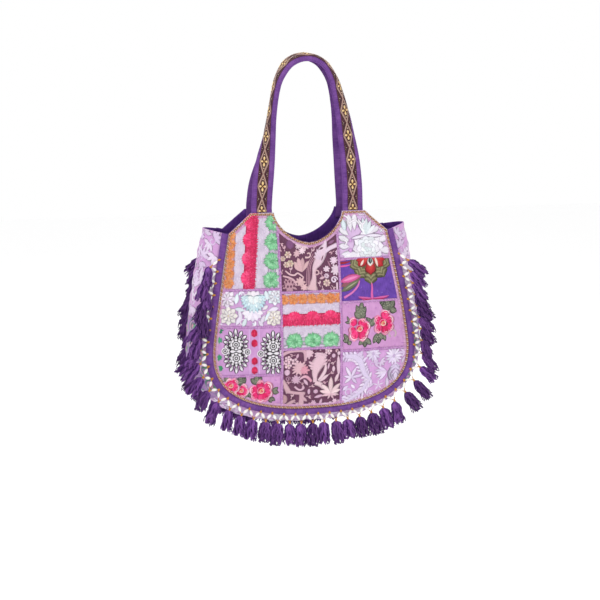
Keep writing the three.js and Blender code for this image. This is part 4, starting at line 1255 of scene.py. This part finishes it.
PATTERNS = {
    # place: what draws its cloth, and with which values
    "left_1": (striped_ribbon, (-182, -335), (-0.097, -0.995), 190, 18),
    "left_2": (lotus_brocade,),
    "left_3": (medallion_brocade,),
    "left_4": (rose_sprays, LEFT_ROSES, LEFT_LEAVES, (-215, -72, -775, -698)),
    "middle_1": (plum_brocade_top,),
    "middle_2": (striped_ribbon, (70, -516), (-1, 0), 142, 30),
    "middle_3": (plum_brocade_low,),
    "right_1": (peony_brocade,),
    "right_2": (bloom_brocade,),
    "right_3": (rose_sprays, RIGHT_ROSES, RIGHT_LEAVES, (68, 215, -645, -543), ((183, -615),)),
    "right_4": (damask_brocade,),
}
for seed, (place, left, right, top, low, cloth) in enumerate(PATCHES):
    inset = PATCH_GAP / 2
    cut = rectangle_cut(PATCHWORK, left + inset, right - inset, top - inset, low + inset)
    outline = split_edges(cut, PATCH_EDGE)

    def patch_top(flat):
        return LAYER_GAP + CLOTH + PATCH_PUFF * (1 - np.exp(-edge_of(outline, flat)[0] / PATCH_ROUND))

    flat, faces = cut_cloth(outline, PATCH_GRID)
    points, faces = thick(on_panel(*flat.T, patch_top(flat)), on_panel(*flat.T, LAYER_GAP), faces)
    e = Embroidery(seed)
    draw, *values = PATTERNS[place]
    draw(e, *values)
    for face, side in FACES:
        name = f"{face}_patch_{place}"
        patch = new_piece(name, points, faces, BROCADES[cloth], np.r_[flat, flat], side=side)
        put_on(patch, cloth, name)
        work = e.laid(f"{name}_embroidery", outline, on_panel, patch_top, embroidery_thread, side)
        put_on(work, cloth)
        size = (outline.max(0) - outline.min(0)) / 1000

# Seam tapes and edge binding
# Lilac braid is sewn flat over every seam between the patches, and a pale pink band along the edge of the
# patchwork just inside the gold cord.
SEAM_TOP, SEAM_LOW = -330, -790
SEAMS = [((x, SEAM_TOP), (x, SEAM_LOW)) for x in (-70, 64)]
SEAMS += [((left, low), (right, low)) for _, left, right, _, low, _ in PATCHES if low > SEAM_LOW]
TAPE_HALF, TAPE_STEP, TAPE_ASIDE, TAPE_SLANT = 3.4, 2.0, 2.9, 52
BINDING_INSET, BINDING_HALF, BINDING_STEP, BINDING_SLANT = 8.6, 4.2, 2.2, 62
TAPE_INSET = 0.4


def moved_in(outline, distance):
    """A closed outline moved towards its inside, as a path that ends where it starts."""
    ahead = np.roll(outline, -1, axis=0) - outline
    ahead /= np.hypot(*ahead.T)[:, None]
    normal = np.stack([-ahead[:, 1], ahead[:, 0]], -1)
    both = normal + np.roll(normal, 1, axis=0)
    both /= (both**2).sum(1).clip(0.8)[:, None] / 2
    path = outline + both * distance
    return np.vstack([path, path[:1]])


e = Embroidery(40)
binding = moved_in(PATCHWORK, BINDING_INSET)
e.stroke(binding, BINDING_HALF, "cf98c4", rise=0.9, lift=0.4)
for at, way in zip(*along_path(binding, BINDING_STEP)):
    turn = turn_of(way) + BINDING_SLANT
    e.stitch(at - heading(turn) * BINDING_HALF, turn, 2 * BINDING_HALF, 1.9,
             e.pick("e4bedb d9a8d0 cb92c0"), 0.35, 1.2)
for start, end in SEAMS:
    places, ways = along_path((start, end), 4)
    e.stroke(places, TAPE_HALF, "c389c6", rise=1.0, lift=0.3)
    turn = turn_of(ways[0])
    for at in along_path((start, end), TAPE_STEP)[0]:
        for sign in (-1, 1):
            e.stitch(at + heading(turn - 90 * sign) * TAPE_ASIDE, turn + TAPE_SLANT * sign, 4.4, 1.6,
                     e.pick("d6a8d8 c48ac8 b57abc e2c0e0"), 0.4, 1.2)
tape_thread = thread_work("seam_tape_thread", stitches=1200.0, sheen=0.1)


def cloth_top(flat):
    """Height of the patches at their seams."""
    return np.full(len(flat), LAYER_GAP + CLOTH)


for face, side in FACES:
    name = f"{face}_seam_tape"
    tape = e.laid(name, moved_in(PATCHWORK, TAPE_INSET)[:-1], on_panel, cloth_top, tape_thread, side)
    put_on(tape, "seam_tape", name)

# Gold edge cord
# A plaited cord of gold and brown thread is couched along the very edge of the patchwork. Every fourth grain
# is pale, a painted glint. It shows two rows of grains that slant towards each other.
CORD_ROWS = (
    # inset from the edge, slant and shift of the first grain
    (1.9, 38, 0.0),
    (4.1, -38, 1.15),
)
CORD_TURN, CORD_LIFT = 2.3, 1.3
CORD_GRAIN = (3.7, 2.2, 2.5)
CORE_INSET, CORE_HALF = 3.0, 2.0
# Grain tones in turn: gold, brown, a near-white painted glint and mid gold.
CORD_TONES_AND_GLINT = ("e6b684", "a8705a", "f8e6dc", "d09a70")
gold_thread = thread_work("gold_thread", stitches=1500.0, rough=0.36, sheen=0.0, metal=0.3)
cord_grain = grain("cord_grain", 5, 2)
places, slanted, shades = [], [], []
for inset, slant, shift in CORD_ROWS:
    flat_places, flat_ways = along_path(moved_in(PATCHWORK, inset), CORD_TURN)
    flat_places = flat_places + flat_ways * shift
    here = on_panel(*flat_places.T, LAYER_GAP + CLOTH + CORD_LIFT)
    ways = on_panel(*(flat_places + flat_ways).T, LAYER_GAP + CLOTH + CORD_LIFT) - here
    asides = np.cross(ways, (0, -1, 0))
    turn = math.radians(slant)
    places.append(here)
    slanted.append(ways * math.cos(turn) + asides * math.sin(turn))
    shades += [paint(CORD_TONES_AND_GLINT[i % len(CORD_TONES_AND_GLINT)]) for i in range(len(here))]
places, slanted = np.vstack(places), np.vstack(slanted)
core = Embroidery(41)
core.stroke(moved_in(PATCHWORK, CORE_INSET), CORE_HALF, "7a4a3c", rise=1.3, lift=0.2)
for face, side in FACES:
    name = f"{face}_edge_braid"
    grains = sew(name, places, slanted, (0, -1, 0), CORD_GRAIN, shades, cord_grain, gold_thread, side=side)
    middle = core.laid(f"{name}_core", PATCHWORK, on_panel, cloth_top, gold_thread, side)
    put_on(joined(name, grains, middle), "gold_braid", name)

# Border
# A strip of plain purple cotton runs round the sides and the bottom outside the patchwork. It is folded over
# and lightly filled, so it stands as a soft roll with small pulls across it.
GAP = 0.3
BORDER_PUFF, BORDER_CLOTH = 4.4, 20
BORDER_SPACING, BORDER_ROWS = 4, 11


def grid_wall(outer, inner, order):
    """Closed cloth from two grids of points, with the corners of its faces in an order."""
    grid = np.arange(outer[..., 0].size).reshape(outer.shape[:2])
    corners = grid[:-1, :-1], grid[:-1, 1:], grid[1:, 1:], grid[1:, :-1]
    faces = np.stack([corners[i] for i in order], -1).reshape(-1, 4)
    return thick(outer.reshape(-1, 3), inner.reshape(-1, 3), [tuple(f) for f in faces])


purple_cotton = woven_cloth("purple_weave", "80529c", "5a3379", threads=1500.0, sheen=0.2)
steps, distances = even_steps(0, SEAM_STEPS, BORDER_SPACING)
share = np.linspace(0, 1, BORDER_ROWS)[:, None]
strip = [seam_at(steps, GAP + (BORDER_WIDTH - GAP) * t)[:2] for t in share[:, 0]]
x, z = np.moveaxis(np.array(strip), 1, 0)
gathers = 1 + 0.16 * np.sin(distances / 7 + 2.2 * np.sin(distances / 31)) + 0.1 * np.sin(distances / 3.1)
rise = BORDER_PUFF * np.sin(math.pi * share) ** 0.55 * gathers
top = on_panel(x, z, LAYER_GAP + CLOTH + rise)
under = on_panel(x, z, LAYER_GAP)
points, faces = grid_wall(top, under, (0, 3, 2, 1))
uv = np.stack(np.broadcast_arrays(distances, share * BORDER_CLOTH), -1).reshape(-1, 2)
for face, side in FACES:
    name = f"{face}_border"
    border = new_piece(name, points, faces, purple_cotton, np.r_[uv, uv], side=side)
    put_on(border, "purple_cotton", name)

# Gusset
# A strip of brocade in five lengths closes the sides and the bottom between the two panels. It is cut wider
# than the bag is deep, so it swells outwards at the sides and gathers a little, with a cotton lining inside.
GUSSET_WIDTH, EDGE_GAP = 165, 1.1
GUSSET_SPACING, GUSSET_ROWS, GUSSET_GAP = 6, 23, 0.004
GUSSET_PIECES = (
    # name, first and last step, cloth
    ("gusset_left_upper", 0, 3, "damask_brocade"),
    ("gusset_left_lower", 3, 7, "gusset_print"),
    ("gusset_bottom", 7, 17, "damask_brocade"),
    ("gusset_right_lower", 17, 21, "gusset_print"),
    ("gusset_right_upper", 21, 24, "damask_brocade"),
)
GUSSET_LININGS = (
    ("gusset_lining_left", 0, 8),
    ("gusset_lining_bottom", 8, 16),
    ("gusset_lining_right", 16, 24),
)


def on_gusset(step, t, depth):
    """Points of the gusset at steps along the seam, shares of its width and depths inside its face."""
    x, z, normal_x, normal_z = seam_at(step, BORDER_WIDTH - GAP)
    half = -front_y(x, z) - LINING - EDGE_GAP
    bulge = at_height(3, z)
    slope = 4 * bulge * (1 - 2 * t)
    length = np.hypot(2 * half, slope)
    fade = (4 * t * (1 - t)) ** 0.5
    gathers = fade * (0.9 * np.sin(step * 7 + 5 * t) + 0.7 * np.sin(step * 17 + 9 * np.sin(4 * t)))
    out = 4 * bulge * t * (1 - t) - depth * 2 * half / length + gathers
    y = -half * (1 - 2 * t) + depth * slope / length
    return np.stack([x + normal_x * out, y, z + normal_z * out], -1)


def gusset_wall(first, last, depth, thickness):
    """A length of the gusset: points, faces, cloth coordinates, mean length and width, and its steps."""
    steps, distances = even_steps(first + GUSSET_GAP, last - GUSSET_GAP, GUSSET_SPACING)
    t = np.linspace(0, 1, GUSSET_ROWS)[:, None]
    outer = on_gusset(steps[None] + 0 * t, t + 0 * steps, depth)
    inner = on_gusset(steps[None] + 0 * t, t + 0 * steps, depth + thickness)
    points, faces = grid_wall(outer, inner, (0, 1, 2, 3))
    uv = np.stack([distances[None] + 0 * t, t * GUSSET_WIDTH + 0 * distances], -1).reshape(-1, 2)
    size = [np.linalg.norm(np.diff(outer, axis=way), axis=2).sum(way).mean() / 1000 for way in (1, 0)]
    return points, faces, np.r_[uv, uv], size, steps, distances


def print_arcs(e, length):
    """Green and pink arcs and leaves of the print on the lower sides."""
    for u in np.arange(0, length + 30, 34):
        for v in np.arange(10, GUSSET_WIDTH, 38):
            at = np.array((u + 17 * ((v // 38) % 2), v))
            for radius, colour in ((16, "5f9a7c"), (11.5, "e2b7cf"), (7, "4f8a6c")):
                e.ring(at, radius, 3.2, e.pick(colour), rise=0.15, first=20, last=200)
            e.flower(at, 5, 6, "d87aa5 e59abc", "f0e0b8", rise=0.2)
            for turn in (-60, -100, -140):
                e.petal(at, turn, 17, 7, e.pick("4f8a6c 78ad8f c98fb4"), rise=0.15)


GUSSET_CLOTHS = {
    "damask_brocade": BROCADES["damask_brocade"],
    "gusset_print": woven_cloth("gusset_print_weave", "b58fc0", "8f6aa5", 1800.0, 60.0, 0.7, sheen=0.1,
                                depth=0.0003),
}
for seed, (name, first, last, cloth) in enumerate(GUSSET_PIECES):
    points, faces, uv, size, steps, distances = gusset_wall(first, last, 0, CLOTH)
    length = distances[-1]
    wall = new_piece(name, points, faces, GUSSET_CLOTHS[cloth], uv)
    put_on(wall, cloth, name)
    e = Embroidery(60 + seed)
    if cloth == "gusset_print":
        print_arcs(e, length)
    else:
        damask_ground(e, (6, length - 6, 8, GUSSET_WIDTH - 8), 1.6)
    edges = ((0.5, 1), (length - 0.5, 1), (length - 0.5, GUSSET_WIDTH - 1), (0.5, GUSSET_WIDTH - 1))
    outline = split_edges(np.array(edges, float), 10)

    def on_wall(u, v, out):
        return on_gusset(np.interp(u, distances, steps), v / GUSSET_WIDTH, -out)

    def wall_top(flat):
        return np.zeros(len(flat))

    work = e.laid(f"{name}_embroidery", outline, on_wall, wall_top, embroidery_thread, 1)
    put_on(work, cloth)
for name, first, last in GUSSET_LININGS:
    points, faces, uv, size, _, _ = gusset_wall(first, last, CLOTH + LAYER_GAP, LINING)
    wall = new_piece(name, points, faces, lining_cotton, uv)
    put_on(wall, "lining_cotton", name)

# Straps
# Each strap is a band of purple cotton, sewn flat behind the two tabs of its panel and rolled together at the
# top, where the bag is carried. Two rows of stitches run near its edges.
STRAP_WIDTH, STRAP_THICK = 46, 2.4
STRAP_SEWN = (-26, 1, 12)
STRAP_FINE, STRAP_SPACING, STRAP_COLUMNS = 12, 5, 17
STITCH_START, STITCH_STEP, STITCH_ASIDE = 34, 3.6, 20.0
STITCH_SIZE = (2.6, 0.6, 0.7)
STRAP_ROWS = (
    # height, depth, curl, front left x and turn, right x and turn, back left x and turn, right x and turn
    (-290, -32, 12, 101, 8, 102, 3, 101, 8, 99, 10),
    (-235, -30, 45, 96, 32, 99, 8, 97, 32, 91, 36),
    (-183, -27.5, 85, 91, 58, 93, 14, 91, 58, 83, 62),
    (-132, -24, 120, 85, 80, 87, 24, 85, 80, 76, 82),
    (-81, -20, 150, 76, 92, 77, 44, 76, 92, 68, 90),
    (-48, -18, 165, 66, 93, 67, 64, 66, 93, 60, 90),
    (-18, -17, 175, 46, 92, 47, 82, 46, 92, 44, 90),
    (-3, -16.5, 180, 23, 90, 24, 88, 23, 90, 23, 90),
    (1.2, -16.5, 180, 0, 90, 0, 90, 0, 90, 0, 90),
)


def strap_line(face):
    """A strap from its right end over the top to its left end, as a function of length, width and height."""
    first = 3 if face == "front" else 7
    behind = LINING + EDGE_GAP + STRAP_THICK / 2
    right, left = [], []
    for above in STRAP_SEWN:
        y = float(front_y(TAB_X, TAB_Z + above)) + behind
        right.append((TAB_X, y, TAB_Z + above, 0, 0))
        left.append((-TAB_X, y, TAB_Z + above, 0, 0))
    for row in STRAP_ROWS:
        z, y, curl = row[:3]
        left_x, left_turn, right_x, right_turn = row[first:first + 4]
        right.append((right_x, y, z, curl, right_turn))
        left.append((-left_x, y, z, curl, left_turn))
    rows = np.array([*right, *left[:-1][::-1]], float)
    fine = smooth_line(rows, STRAP_FINE)
    at, curl, turn = fine[:, :3], np.radians(fine[:, 3:4].clip(0)), np.radians(fine[:, 4:5])
    reached = running(np.linalg.norm(np.diff(at, axis=0), axis=1))
    along = unit(np.gradient(at, axis=0))
    outside = unit(np.cross((0, 1, 0), along))
    ahead = unit(np.array((0, -1, 0)) + along * along[:, 1:2])
    facing = np.cos(turn) * ahead + np.sin(turn) * outside
    wide = np.cross(along, facing)
    table = np.hstack([at, wide, facing, curl])

    def place(s, across, height):
        s, across, height = np.broadcast_arrays(np.asarray(s, float), across, height)
        found = np.stack([np.interp(s, reached, column) for column in table.T], -1)
        curl_here = found[..., 9].clip(1e-3)
        angle = curl_here * across / STRAP_WIDTH
        radius = STRAP_WIDTH / curl_here
        aside = radius * np.sin(angle) + height * np.sin(angle)
        back = height * np.cos(angle) - radius * (1 - np.cos(angle))
        return found[..., :3] + found[..., 3:6] * aside[..., None] + found[..., 6:9] * back[..., None]

    return place, reached


def band(place, start, end, half, low, high, across_count):
    """A strip along a strap between two heights: points, faces and cloth coordinates."""
    s = np.linspace(start, end, round((end - start) / STRAP_SPACING))[None]
    across = np.linspace(-half, half, across_count)[:, None]
    soft = 1 - 0.5 * np.abs(across / half) ** 8
    middle = (low + high) / 2
    outer = place(s, across, middle + (high - middle) * soft)
    inner = place(s, across, middle - (middle - low) * soft)
    points, faces = grid_wall(outer, inner, (3, 2, 1, 0))
    uv = np.stack(np.broadcast_arrays(s, across), -1).reshape(-1, 2)
    return points, faces, np.r_[uv, uv]


strap_stitch = thread_work("strap_stitch", stitches=1500.0, rough=0.55)
strap_lines = {}
for face, side in FACES:
    place, reached = strap_lines[face] = strap_line(face)
    name = f"{face}_strap"
    points, faces, uv = band(place, 0, reached[-1], STRAP_WIDTH / 2, -STRAP_THICK / 2, STRAP_THICK / 2,
                             STRAP_COLUMNS)
    strap = new_piece(name, points, faces, purple_cotton, uv, side=side)
    put_on(strap, "purple_cotton", name)
    s = np.arange(STITCH_START, reached[-1] - STITCH_START, STITCH_STEP)
    rows = [(s, across, np.full(len(s), STRAP_THICK / 2)) for across in (-STITCH_ASIDE, STITCH_ASIDE)]
    where = np.concatenate([place(*row) for row in rows])
    ways = np.concatenate([place(r[0] + 1, *r[1:]) - place(*r) for r in rows])
    fronts = np.concatenate([place(*r[:2], r[2] + 1) - place(*r) for r in rows])
    stitches = sew(f"{name}_stitches", where, ways, fronts, STITCH_SIZE, paint("55337f"),
                   short_stitch, strap_stitch, side=side)
    put_on(stitches, "purple_cotton")

# Strap ribbons
# A woven ribbon with gold crosses in a lattice of taupe diamonds is sewn along the middle of each strap's
# outer face, from tab to tab.
RIBBON_HALF, RIBBON_LOW, RIBBON_HIGH = 11.5, 1.3, 2.3
RIBBON_START, RIBBON_COLUMNS = 27, 9
CROSS_PITCH, CROSS_END = 53, 3
ribbon_ground = woven_cloth("strap_ribbon_weave", "4c2730", "30171e", threads=2600.0, mottle=90.0,
                            rough=0.55, sheen=0.1, depth=0.0002)
ribbon_thread = thread_work("ribbon_thread", stitches=1600.0, rough=0.36, sheen=0.1, metal=0.25)


def ribbon_pattern(e, start, end):
    """Diamonds, crosses, dots and side triangles between two lengths."""
    patterned = end - start - 2 * CROSS_END
    pitch = patterned / round(patterned / CROSS_PITCH)
    for edge in (-RIBBON_HALF + 0.8, RIBBON_HALF - 0.8):
        e.stroke([(s, edge) for s in np.arange(start, end, 6)], 0.6, "6b3a44", rise=0.25)
    for centre in np.arange(start + CROSS_END, end, pitch):
        for gap, width, colour in ((0, 3.2, "b8978a"), (3.8, 1.6, "96705f")):
            reach, wide = pitch / 2 - gap, RIBBON_HALF - 1.6 - gap * 0.55
            for sign in (-1, 1):
                for way in (-1, 1):
                    line = [(centre + way * reach * (1 - k), sign * wide * k) for k in np.linspace(0, 1, 7)]
                    e.stroke(line, width / 2, colour, rise=0.3)
        # Each cross arm is gold thread that pales towards its tip, f8dca4, as a painted highlight.
        for angle, length in ((0, 10.5), (90, 7), (180, 10.5), (270, 7)):
            e.petal((centre, 0) + heading(angle) * 0.8, angle, length, 6, "efbf78", "f8dca4", full=1.5,
                    rise=0.5)
        e.disc((centre, 0), 1.7, "7c4b32", rise=0.9, lift=0.2)
        for way in (-1, 1):
            e.disc((centre + way * 15, 0), 1.5, "e6cdb0", rise=0.4)
            for sign in (-1, 1):
                at = np.array((centre + way * pitch / 2, sign * 7.6))
                e.disc(at, 1.4, "e9d9c8", rise=0.4)
                e.disc(at + (4 * way, sign * 1.4), 0.9, "c9a98c", rise=0.4)
                e.disc(at - (4 * way, -sign * 1.4), 0.9, "c9a98c", rise=0.4)
                e.petal(at + (0, -sign * 1.2), -90 * sign, 4.2, 3.8, "7a2f3c", rise=0.25)


def ribbon_top(flat):
    """Height of the ribbon above the strap's middle."""
    return np.full(len(flat), RIBBON_HIGH)


for face, side in FACES:
    place, reached = strap_lines[face]
    name = f"{face}_strap_ribbon"
    start, end = RIBBON_START, reached[-1] - RIBBON_START
    points, faces, uv = band(place, start, end, RIBBON_HALF, RIBBON_LOW, RIBBON_HIGH, RIBBON_COLUMNS)
    ribbon = new_piece(name, points, faces, ribbon_ground, uv, side=side)
    put_on(ribbon, "strap_ribbon", name)
    e = Embroidery(80)
    ribbon_pattern(e, start, end)
    edges = ((start, -RIBBON_HALF), (end, -RIBBON_HALF), (end, RIBBON_HALF), (start, RIBBON_HALF))
    outline = split_edges(np.array(edges, float), 20)
    work = e.laid(f"{name}_pattern", outline, place, ribbon_top, ribbon_thread, side)
    put_on(work, "strap_ribbon")

# Zigzag lace
# White cotton leaves, one for each slanting limb, are strung on gold thread in a zigzag along the outer edge
# of the border, with a gold knot at every point.
FRINGE_TOP_STEP = 0.875
TASSEL_PITCH = 25.7
LACE_REACH, LACE_OVERLAP, LACE_LIMB, LACE_THICK = 17, 2, 4.5, 1.6
FRINGE_FORWARD, FRINGE_DROOP = 0.22, 0.3
LEAF_LENGTH, LEAF_WIDE, LEAF_DEEP = 15, 6.4, 2.6
LEAF_SHARE, LEAF_FORWARD = 0.46, 0.5
LEAF_FRONT, KNOT_FRONT = (0, -1, 0.15), (0, -1, 0.1)
KNOT_FORWARD, KNOT_SIZE = 3.0, (8.4, 5.2, 3.6)
THREAD_STEP, THREAD_SIZE = 2.0, (3.4, 2.5, 2.0)


def fringe_at(steps, reach):
    """Points of the fringe at reaches from the border's edge, and the ways that the lace hangs there."""
    x, z, normal_x, normal_z = seam_at(steps, BORDER_WIDTH)
    hang = unit(np.stack([normal_x, np.full_like(x, -FRINGE_FORWARD), normal_z - FRINGE_DROOP], -1))
    clear = LAYER_GAP + FRINGE_FORWARD * (LACE_OVERLAP + LACE_LIMB / 2) + LACE_THICK / 2
    start = np.stack([x, front_y(x, z) - LAYER_GAP - CLOTH - clear, z], -1)
    return start + hang * np.asarray(reach, float)[:, None], hang, np.stack([normal_x, normal_z], -1)


fine_steps, fine_distances = even_steps(FRINGE_TOP_STEP, SEAM_STEPS - FRINGE_TOP_STEP, 1)
limbs = 2 * round(fine_distances[-1] / TASSEL_PITCH)
lace_steps = np.interp(np.linspace(0, fine_distances[-1], limbs + 1), fine_distances, fine_steps)
outer_points = np.arange(limbs + 1) % 2 == 1
lace_points, hang, _ = fringe_at(lace_steps, np.where(outer_points, LACE_REACH, -LACE_OVERLAP))
limb_ways = np.diff(lace_points, axis=0)
inner_first = np.where(outer_points[1:], LEAF_SHARE, 1 - LEAF_SHARE)[:, None]
middles = lace_points[:-1] + limb_ways * inner_first + (0, -LEAF_FORWARD, 0)
white_cotton = thread_work("white_lace_thread", stitches=1300.0, rough=0.6, sheen=0.2)
lace_leaf = grain("lace_leaf", 8, 5, 0.8)
knot = grain("gold_knot", 5, 2)
white = random.Random(90)
leaf_tints = np.array([[c * white.uniform(0.95, 1.0) for c in paint("fffdf8")] for _ in range(limbs)])
leaf_sizes = np.array([(LEAF_LENGTH * white.uniform(0.94, 1.06), LEAF_WIDE * white.uniform(0.9, 1.1),
                        LEAF_DEEP) for _ in range(limbs)])
thread_places, thread_ways = along_path(lace_points, THREAD_STEP)
gold_places = np.vstack([lace_points + (0, -KNOT_FORWARD, 0), thread_places])
gold_ways = np.vstack([hang, thread_ways])
gold_sizes = np.array([KNOT_SIZE] * (limbs + 1) + [THREAD_SIZE] * len(thread_places))
for face, side in FACES:
    name = f"{face}_zigzag_lace"
    leaves = sew(name, middles, limb_ways, LEAF_FRONT, leaf_sizes, leaf_tints, lace_leaf, white_cotton,
                 side=side)
    put_on(leaves, "white_lace", name)
    golds = sew(f"{name}_gold", gold_places, gold_ways, KNOT_FRONT, gold_sizes, paint("d9963a"), knot,
                gold_thread, side=side)
    put_on(golds, "white_lace")

# Tassels
# A tassel of soft purple thread hangs from each outer point of the lace. Its threads are tied at the top,
# swell out below the tie and end unevenly.
TASSEL_LENGTH, TASSEL_WIDE, TASSEL_DEEP = 48, 29, 22
TASSEL_OUT_LEFT, TASSEL_OUT_RIGHT = 0.46, 0.75
TASSEL_FORWARD, TASSEL_OVER, TASSEL_SWAY, TASSEL_SWAY_TURN = 0.12, 0.28, 0.14, 2.4
TASSEL_TILT, TASSEL_SIDE_TILT = 0.12, 0.36
TASSEL_SLIM, TASSEL_GAP = 0.2, 0.5
TASSEL_SWELL, TASSEL_WRIGGLE = 0.24, 0.1
# Painted light and shade along each tassel: the colour scale at the head and its change down to the tips.
TASSEL_SHADE_SLOPE, TASSEL_HEAD_LIGHT = -0.7, 1.58
TASSEL_KINDS, TASSEL_STRANDS, TASSEL_THREAD = 6, 84, 0.05
FULL_TURN = 6.2832
TASSEL_TONES = ("30154c", "7f5099")
TONE_FIRST, TONE_STEP = 0.74, 0.1
TIE_DOWN, TIE_SIZE = 5, (7, 8, 7)


def tassel_tree():
    """Nodes for one tassel of unit length and width that hangs along its X axis."""
    tree, given, wanted = node_group(
        "Geometry", "tassel",
        {"Geometry": "Geometry", "Strands": "Int", "Thread": "Float", "Seed": "Int", "Dark": "Color",
         "Light": "Color"}, {"Geometry": "Geometry"})

    def maths(operation, *values):
        return calculated(tree, operation, *values)

    def chance(low, high, shift):
        seed = maths("ADD", given["Seed"], float(shift))
        value = node(tree, "FunctionNodeRandomValue", {2: low, 3: high, "Seed": seed}, data_type="FLOAT")
        return value.outputs[1]

    line = node(tree, "GeometryNodeCurvePrimitiveLine", {"Start": (0, 0, 0), "End": (1, 0, 0)})
    fine = node(tree, "GeometryNodeResampleCurve", {"Curve": line.outputs[0], "Count": 7})
    points = node(tree, "GeometryNodePoints", {"Count": given["Strands"]})
    strands = node(tree, "GeometryNodeInstanceOnPoints", {
        "Points": points.outputs[0], "Instance": fine.outputs[0]}).outputs[0]
    for label, value in (("round", chance(0.0, FULL_TURN, 1)), ("wide", chance(0.35, 1.12, 2)),
                         ("long", chance(0.64, 1.06, 3)), ("wave", chance(0.0, FULL_TURN, 4)),
                         ("shade", chance(0.0, 1.0, 5))):
        strands = node(tree, "GeometryNodeStoreNamedAttribute", {
            "Geometry": strands, "Name": label, "Value": value},
            data_type="FLOAT", domain="INSTANCE").outputs[0]
    strands = node(tree, "GeometryNodeRealizeInstances", {"Geometry": strands}).outputs[0]

    def kept(label):
        return stored(tree, label, "FLOAT")

    down = node(tree, "GeometryNodeSplineParameter").outputs["Factor"]
    swell = maths("POWER", down, TASSEL_SWELL)
    out = maths("MULTIPLY_ADD", maths("MULTIPLY", swell, kept("wide")), 0.47, 0.03)
    bends = maths("SINE", maths("MULTIPLY_ADD", down, 11.0, kept("wave")))
    wriggle = maths("MULTIPLY", bends, maths("MULTIPLY", swell, TASSEL_WRIGGLE))
    aside = maths("MULTIPLY_ADD", maths("COSINE", kept("round")), out, wriggle)
    front = maths("MULTIPLY_ADD", maths("SINE", kept("round")), out, maths("MULTIPLY", wriggle, -0.7))
    hung = node(tree, "ShaderNodeCombineXYZ", {0: maths("MULTIPLY", down, kept("long")), 1: aside, 2: front})
    strands = node(tree, "GeometryNodeSetPosition", {
        "Geometry": strands, "Position": hung.outputs[0]}).outputs[0]
    shade = node(tree, "ShaderNodeMix", {
        0: kept("shade"), 6: given["Dark"], 7: given["Light"]}, data_type="RGBA")
    # Painted shade: each strand is lighter at the head and darker towards its tip, so overlapping tassels
    # look shaded where they meet.
    painted_shade_colour = scaled(tree, shade.outputs[2], maths("MULTIPLY_ADD", down, TASSEL_SHADE_SLOPE, TASSEL_HEAD_LIGHT))
    strands = node(tree, "GeometryNodeStoreNamedAttribute", {
        "Geometry": strands, "Name": "thread", "Value": painted_shade_colour},
        data_type="FLOAT_COLOR", domain="POINT").outputs[0]
    profile = node(tree, "GeometryNodeCurvePrimitiveCircle", {
        "Resolution": 3, "Radius": given["Thread"]}, mode="RADIUS")
    body = node(tree, "GeometryNodeCurveToMesh", {
        "Curve": strands, "Profile Curve": profile.outputs[0], "Fill Caps": True})
    tree.links.new(body.outputs[0], wanted[0])
    return tree


TASSEL = tassel_tree()
seed_holder = in_scene("tassel_seed", bpy.data.meshes.new("tassel_seed"))
kinds = []
for k in range(TASSEL_KINDS):
    tone = TONE_FIRST + TONE_STEP * k
    dark, light = ((*(c * tone for c in paint(code)), 1) for code in TASSEL_TONES)
    kinds.append(built(seed_holder, TASSEL, Strands=TASSEL_STRANDS, Thread=TASSEL_THREAD, Seed=10 * k,
                       Dark=dark, Light=light))
bpy.data.objects.remove(seed_holder)
tassel_forms = forms_of("tassel", *kinds)


def soft_thread(name):
    """Fuzzy cotton thread in the colours of its strands."""
    material, tree, shader = new_material(name)
    dyed = node(tree, "ShaderNodeAttribute", attribute_name="thread")
    place = node(tree, "ShaderNodeTexCoord")
    fuzz = node(tree, "ShaderNodeTexNoise", {
        "Vector": place.outputs["Object"], "Scale": 900.0, "Detail": 3.0})
    level = node(tree, "ShaderNodeMapRange", {"Value": fuzz.outputs["Fac"], "To Min": 0.7, "To Max": 1.25})
    bump = node(tree, "ShaderNodeBump", {
        "Strength": 0.5, "Distance": 0.0005, "Height": fuzz.outputs["Fac"]})
    feed(tree, shader, {
        "Base Color": scaled(tree, dyed.outputs["Color"], level.outputs[0]), "Normal": bump.outputs[0],
        "Roughness": 0.9, "Sheen Weight": 0.25, "Sheen Roughness": 0.5,
        "Sheen Tint": (*paint("8a5fa8"), 1), "Specular IOR Level": 0.15})
    return material


tassel_cotton = soft_thread("tassel_thread")
reach = np.full(outer_points.sum(), LACE_REACH + LACE_LIMB / 2 + TASSEL_GAP)
heads, _, normals = fringe_at(lace_steps[outer_points], reach)
aslant = np.abs(normals[:, 0])
sway = TASSEL_SWAY * (1 - aslant) * np.sin(TASSEL_SWAY_TURN * np.arange(len(heads)))
forward = TASSEL_FORWARD + TASSEL_OVER * aslant + sway
for face, side in FACES:
    name = f"{face}_tassels"
    loose = random.Random(95)
    out = np.where((normals[:, 0] > 0) == (face == "front"), TASSEL_OUT_RIGHT, TASSEL_OUT_LEFT)
    tilt = np.array([loose.uniform(-1, 1) for _ in heads]) * (TASSEL_TILT + TASSEL_SIDE_TILT * aslant)
    drops = unit(np.stack([normals[:, 0] * out + tilt, -forward, np.full(len(heads), -1.0)], -1))
    tassel_sizes = np.array([(TASSEL_LENGTH * loose.uniform(0.88, 1.08),
                              TASSEL_WIDE * loose.uniform(0.86, 1.12), TASSEL_DEEP) for _ in heads])
    tassel_sizes[:, 1] *= 1 - TASSEL_SLIM * aslant
    tassels = sew(name, heads, drops, (0, -1, 0), tassel_sizes, None, tassel_forms, tassel_cotton,
                  kinds=[loose.randrange(TASSEL_KINDS) for _ in heads], side=side)
    put_on(tassels, "tassel_cotton", name)
    ties = sew(f"{name}_ties", heads + drops * TIE_DOWN, drops, (0, -1, 0), TIE_SIZE, paint("54336c"),
               knot, strap_stitch, side=side)
    put_on(ties, "tassel_cotton")
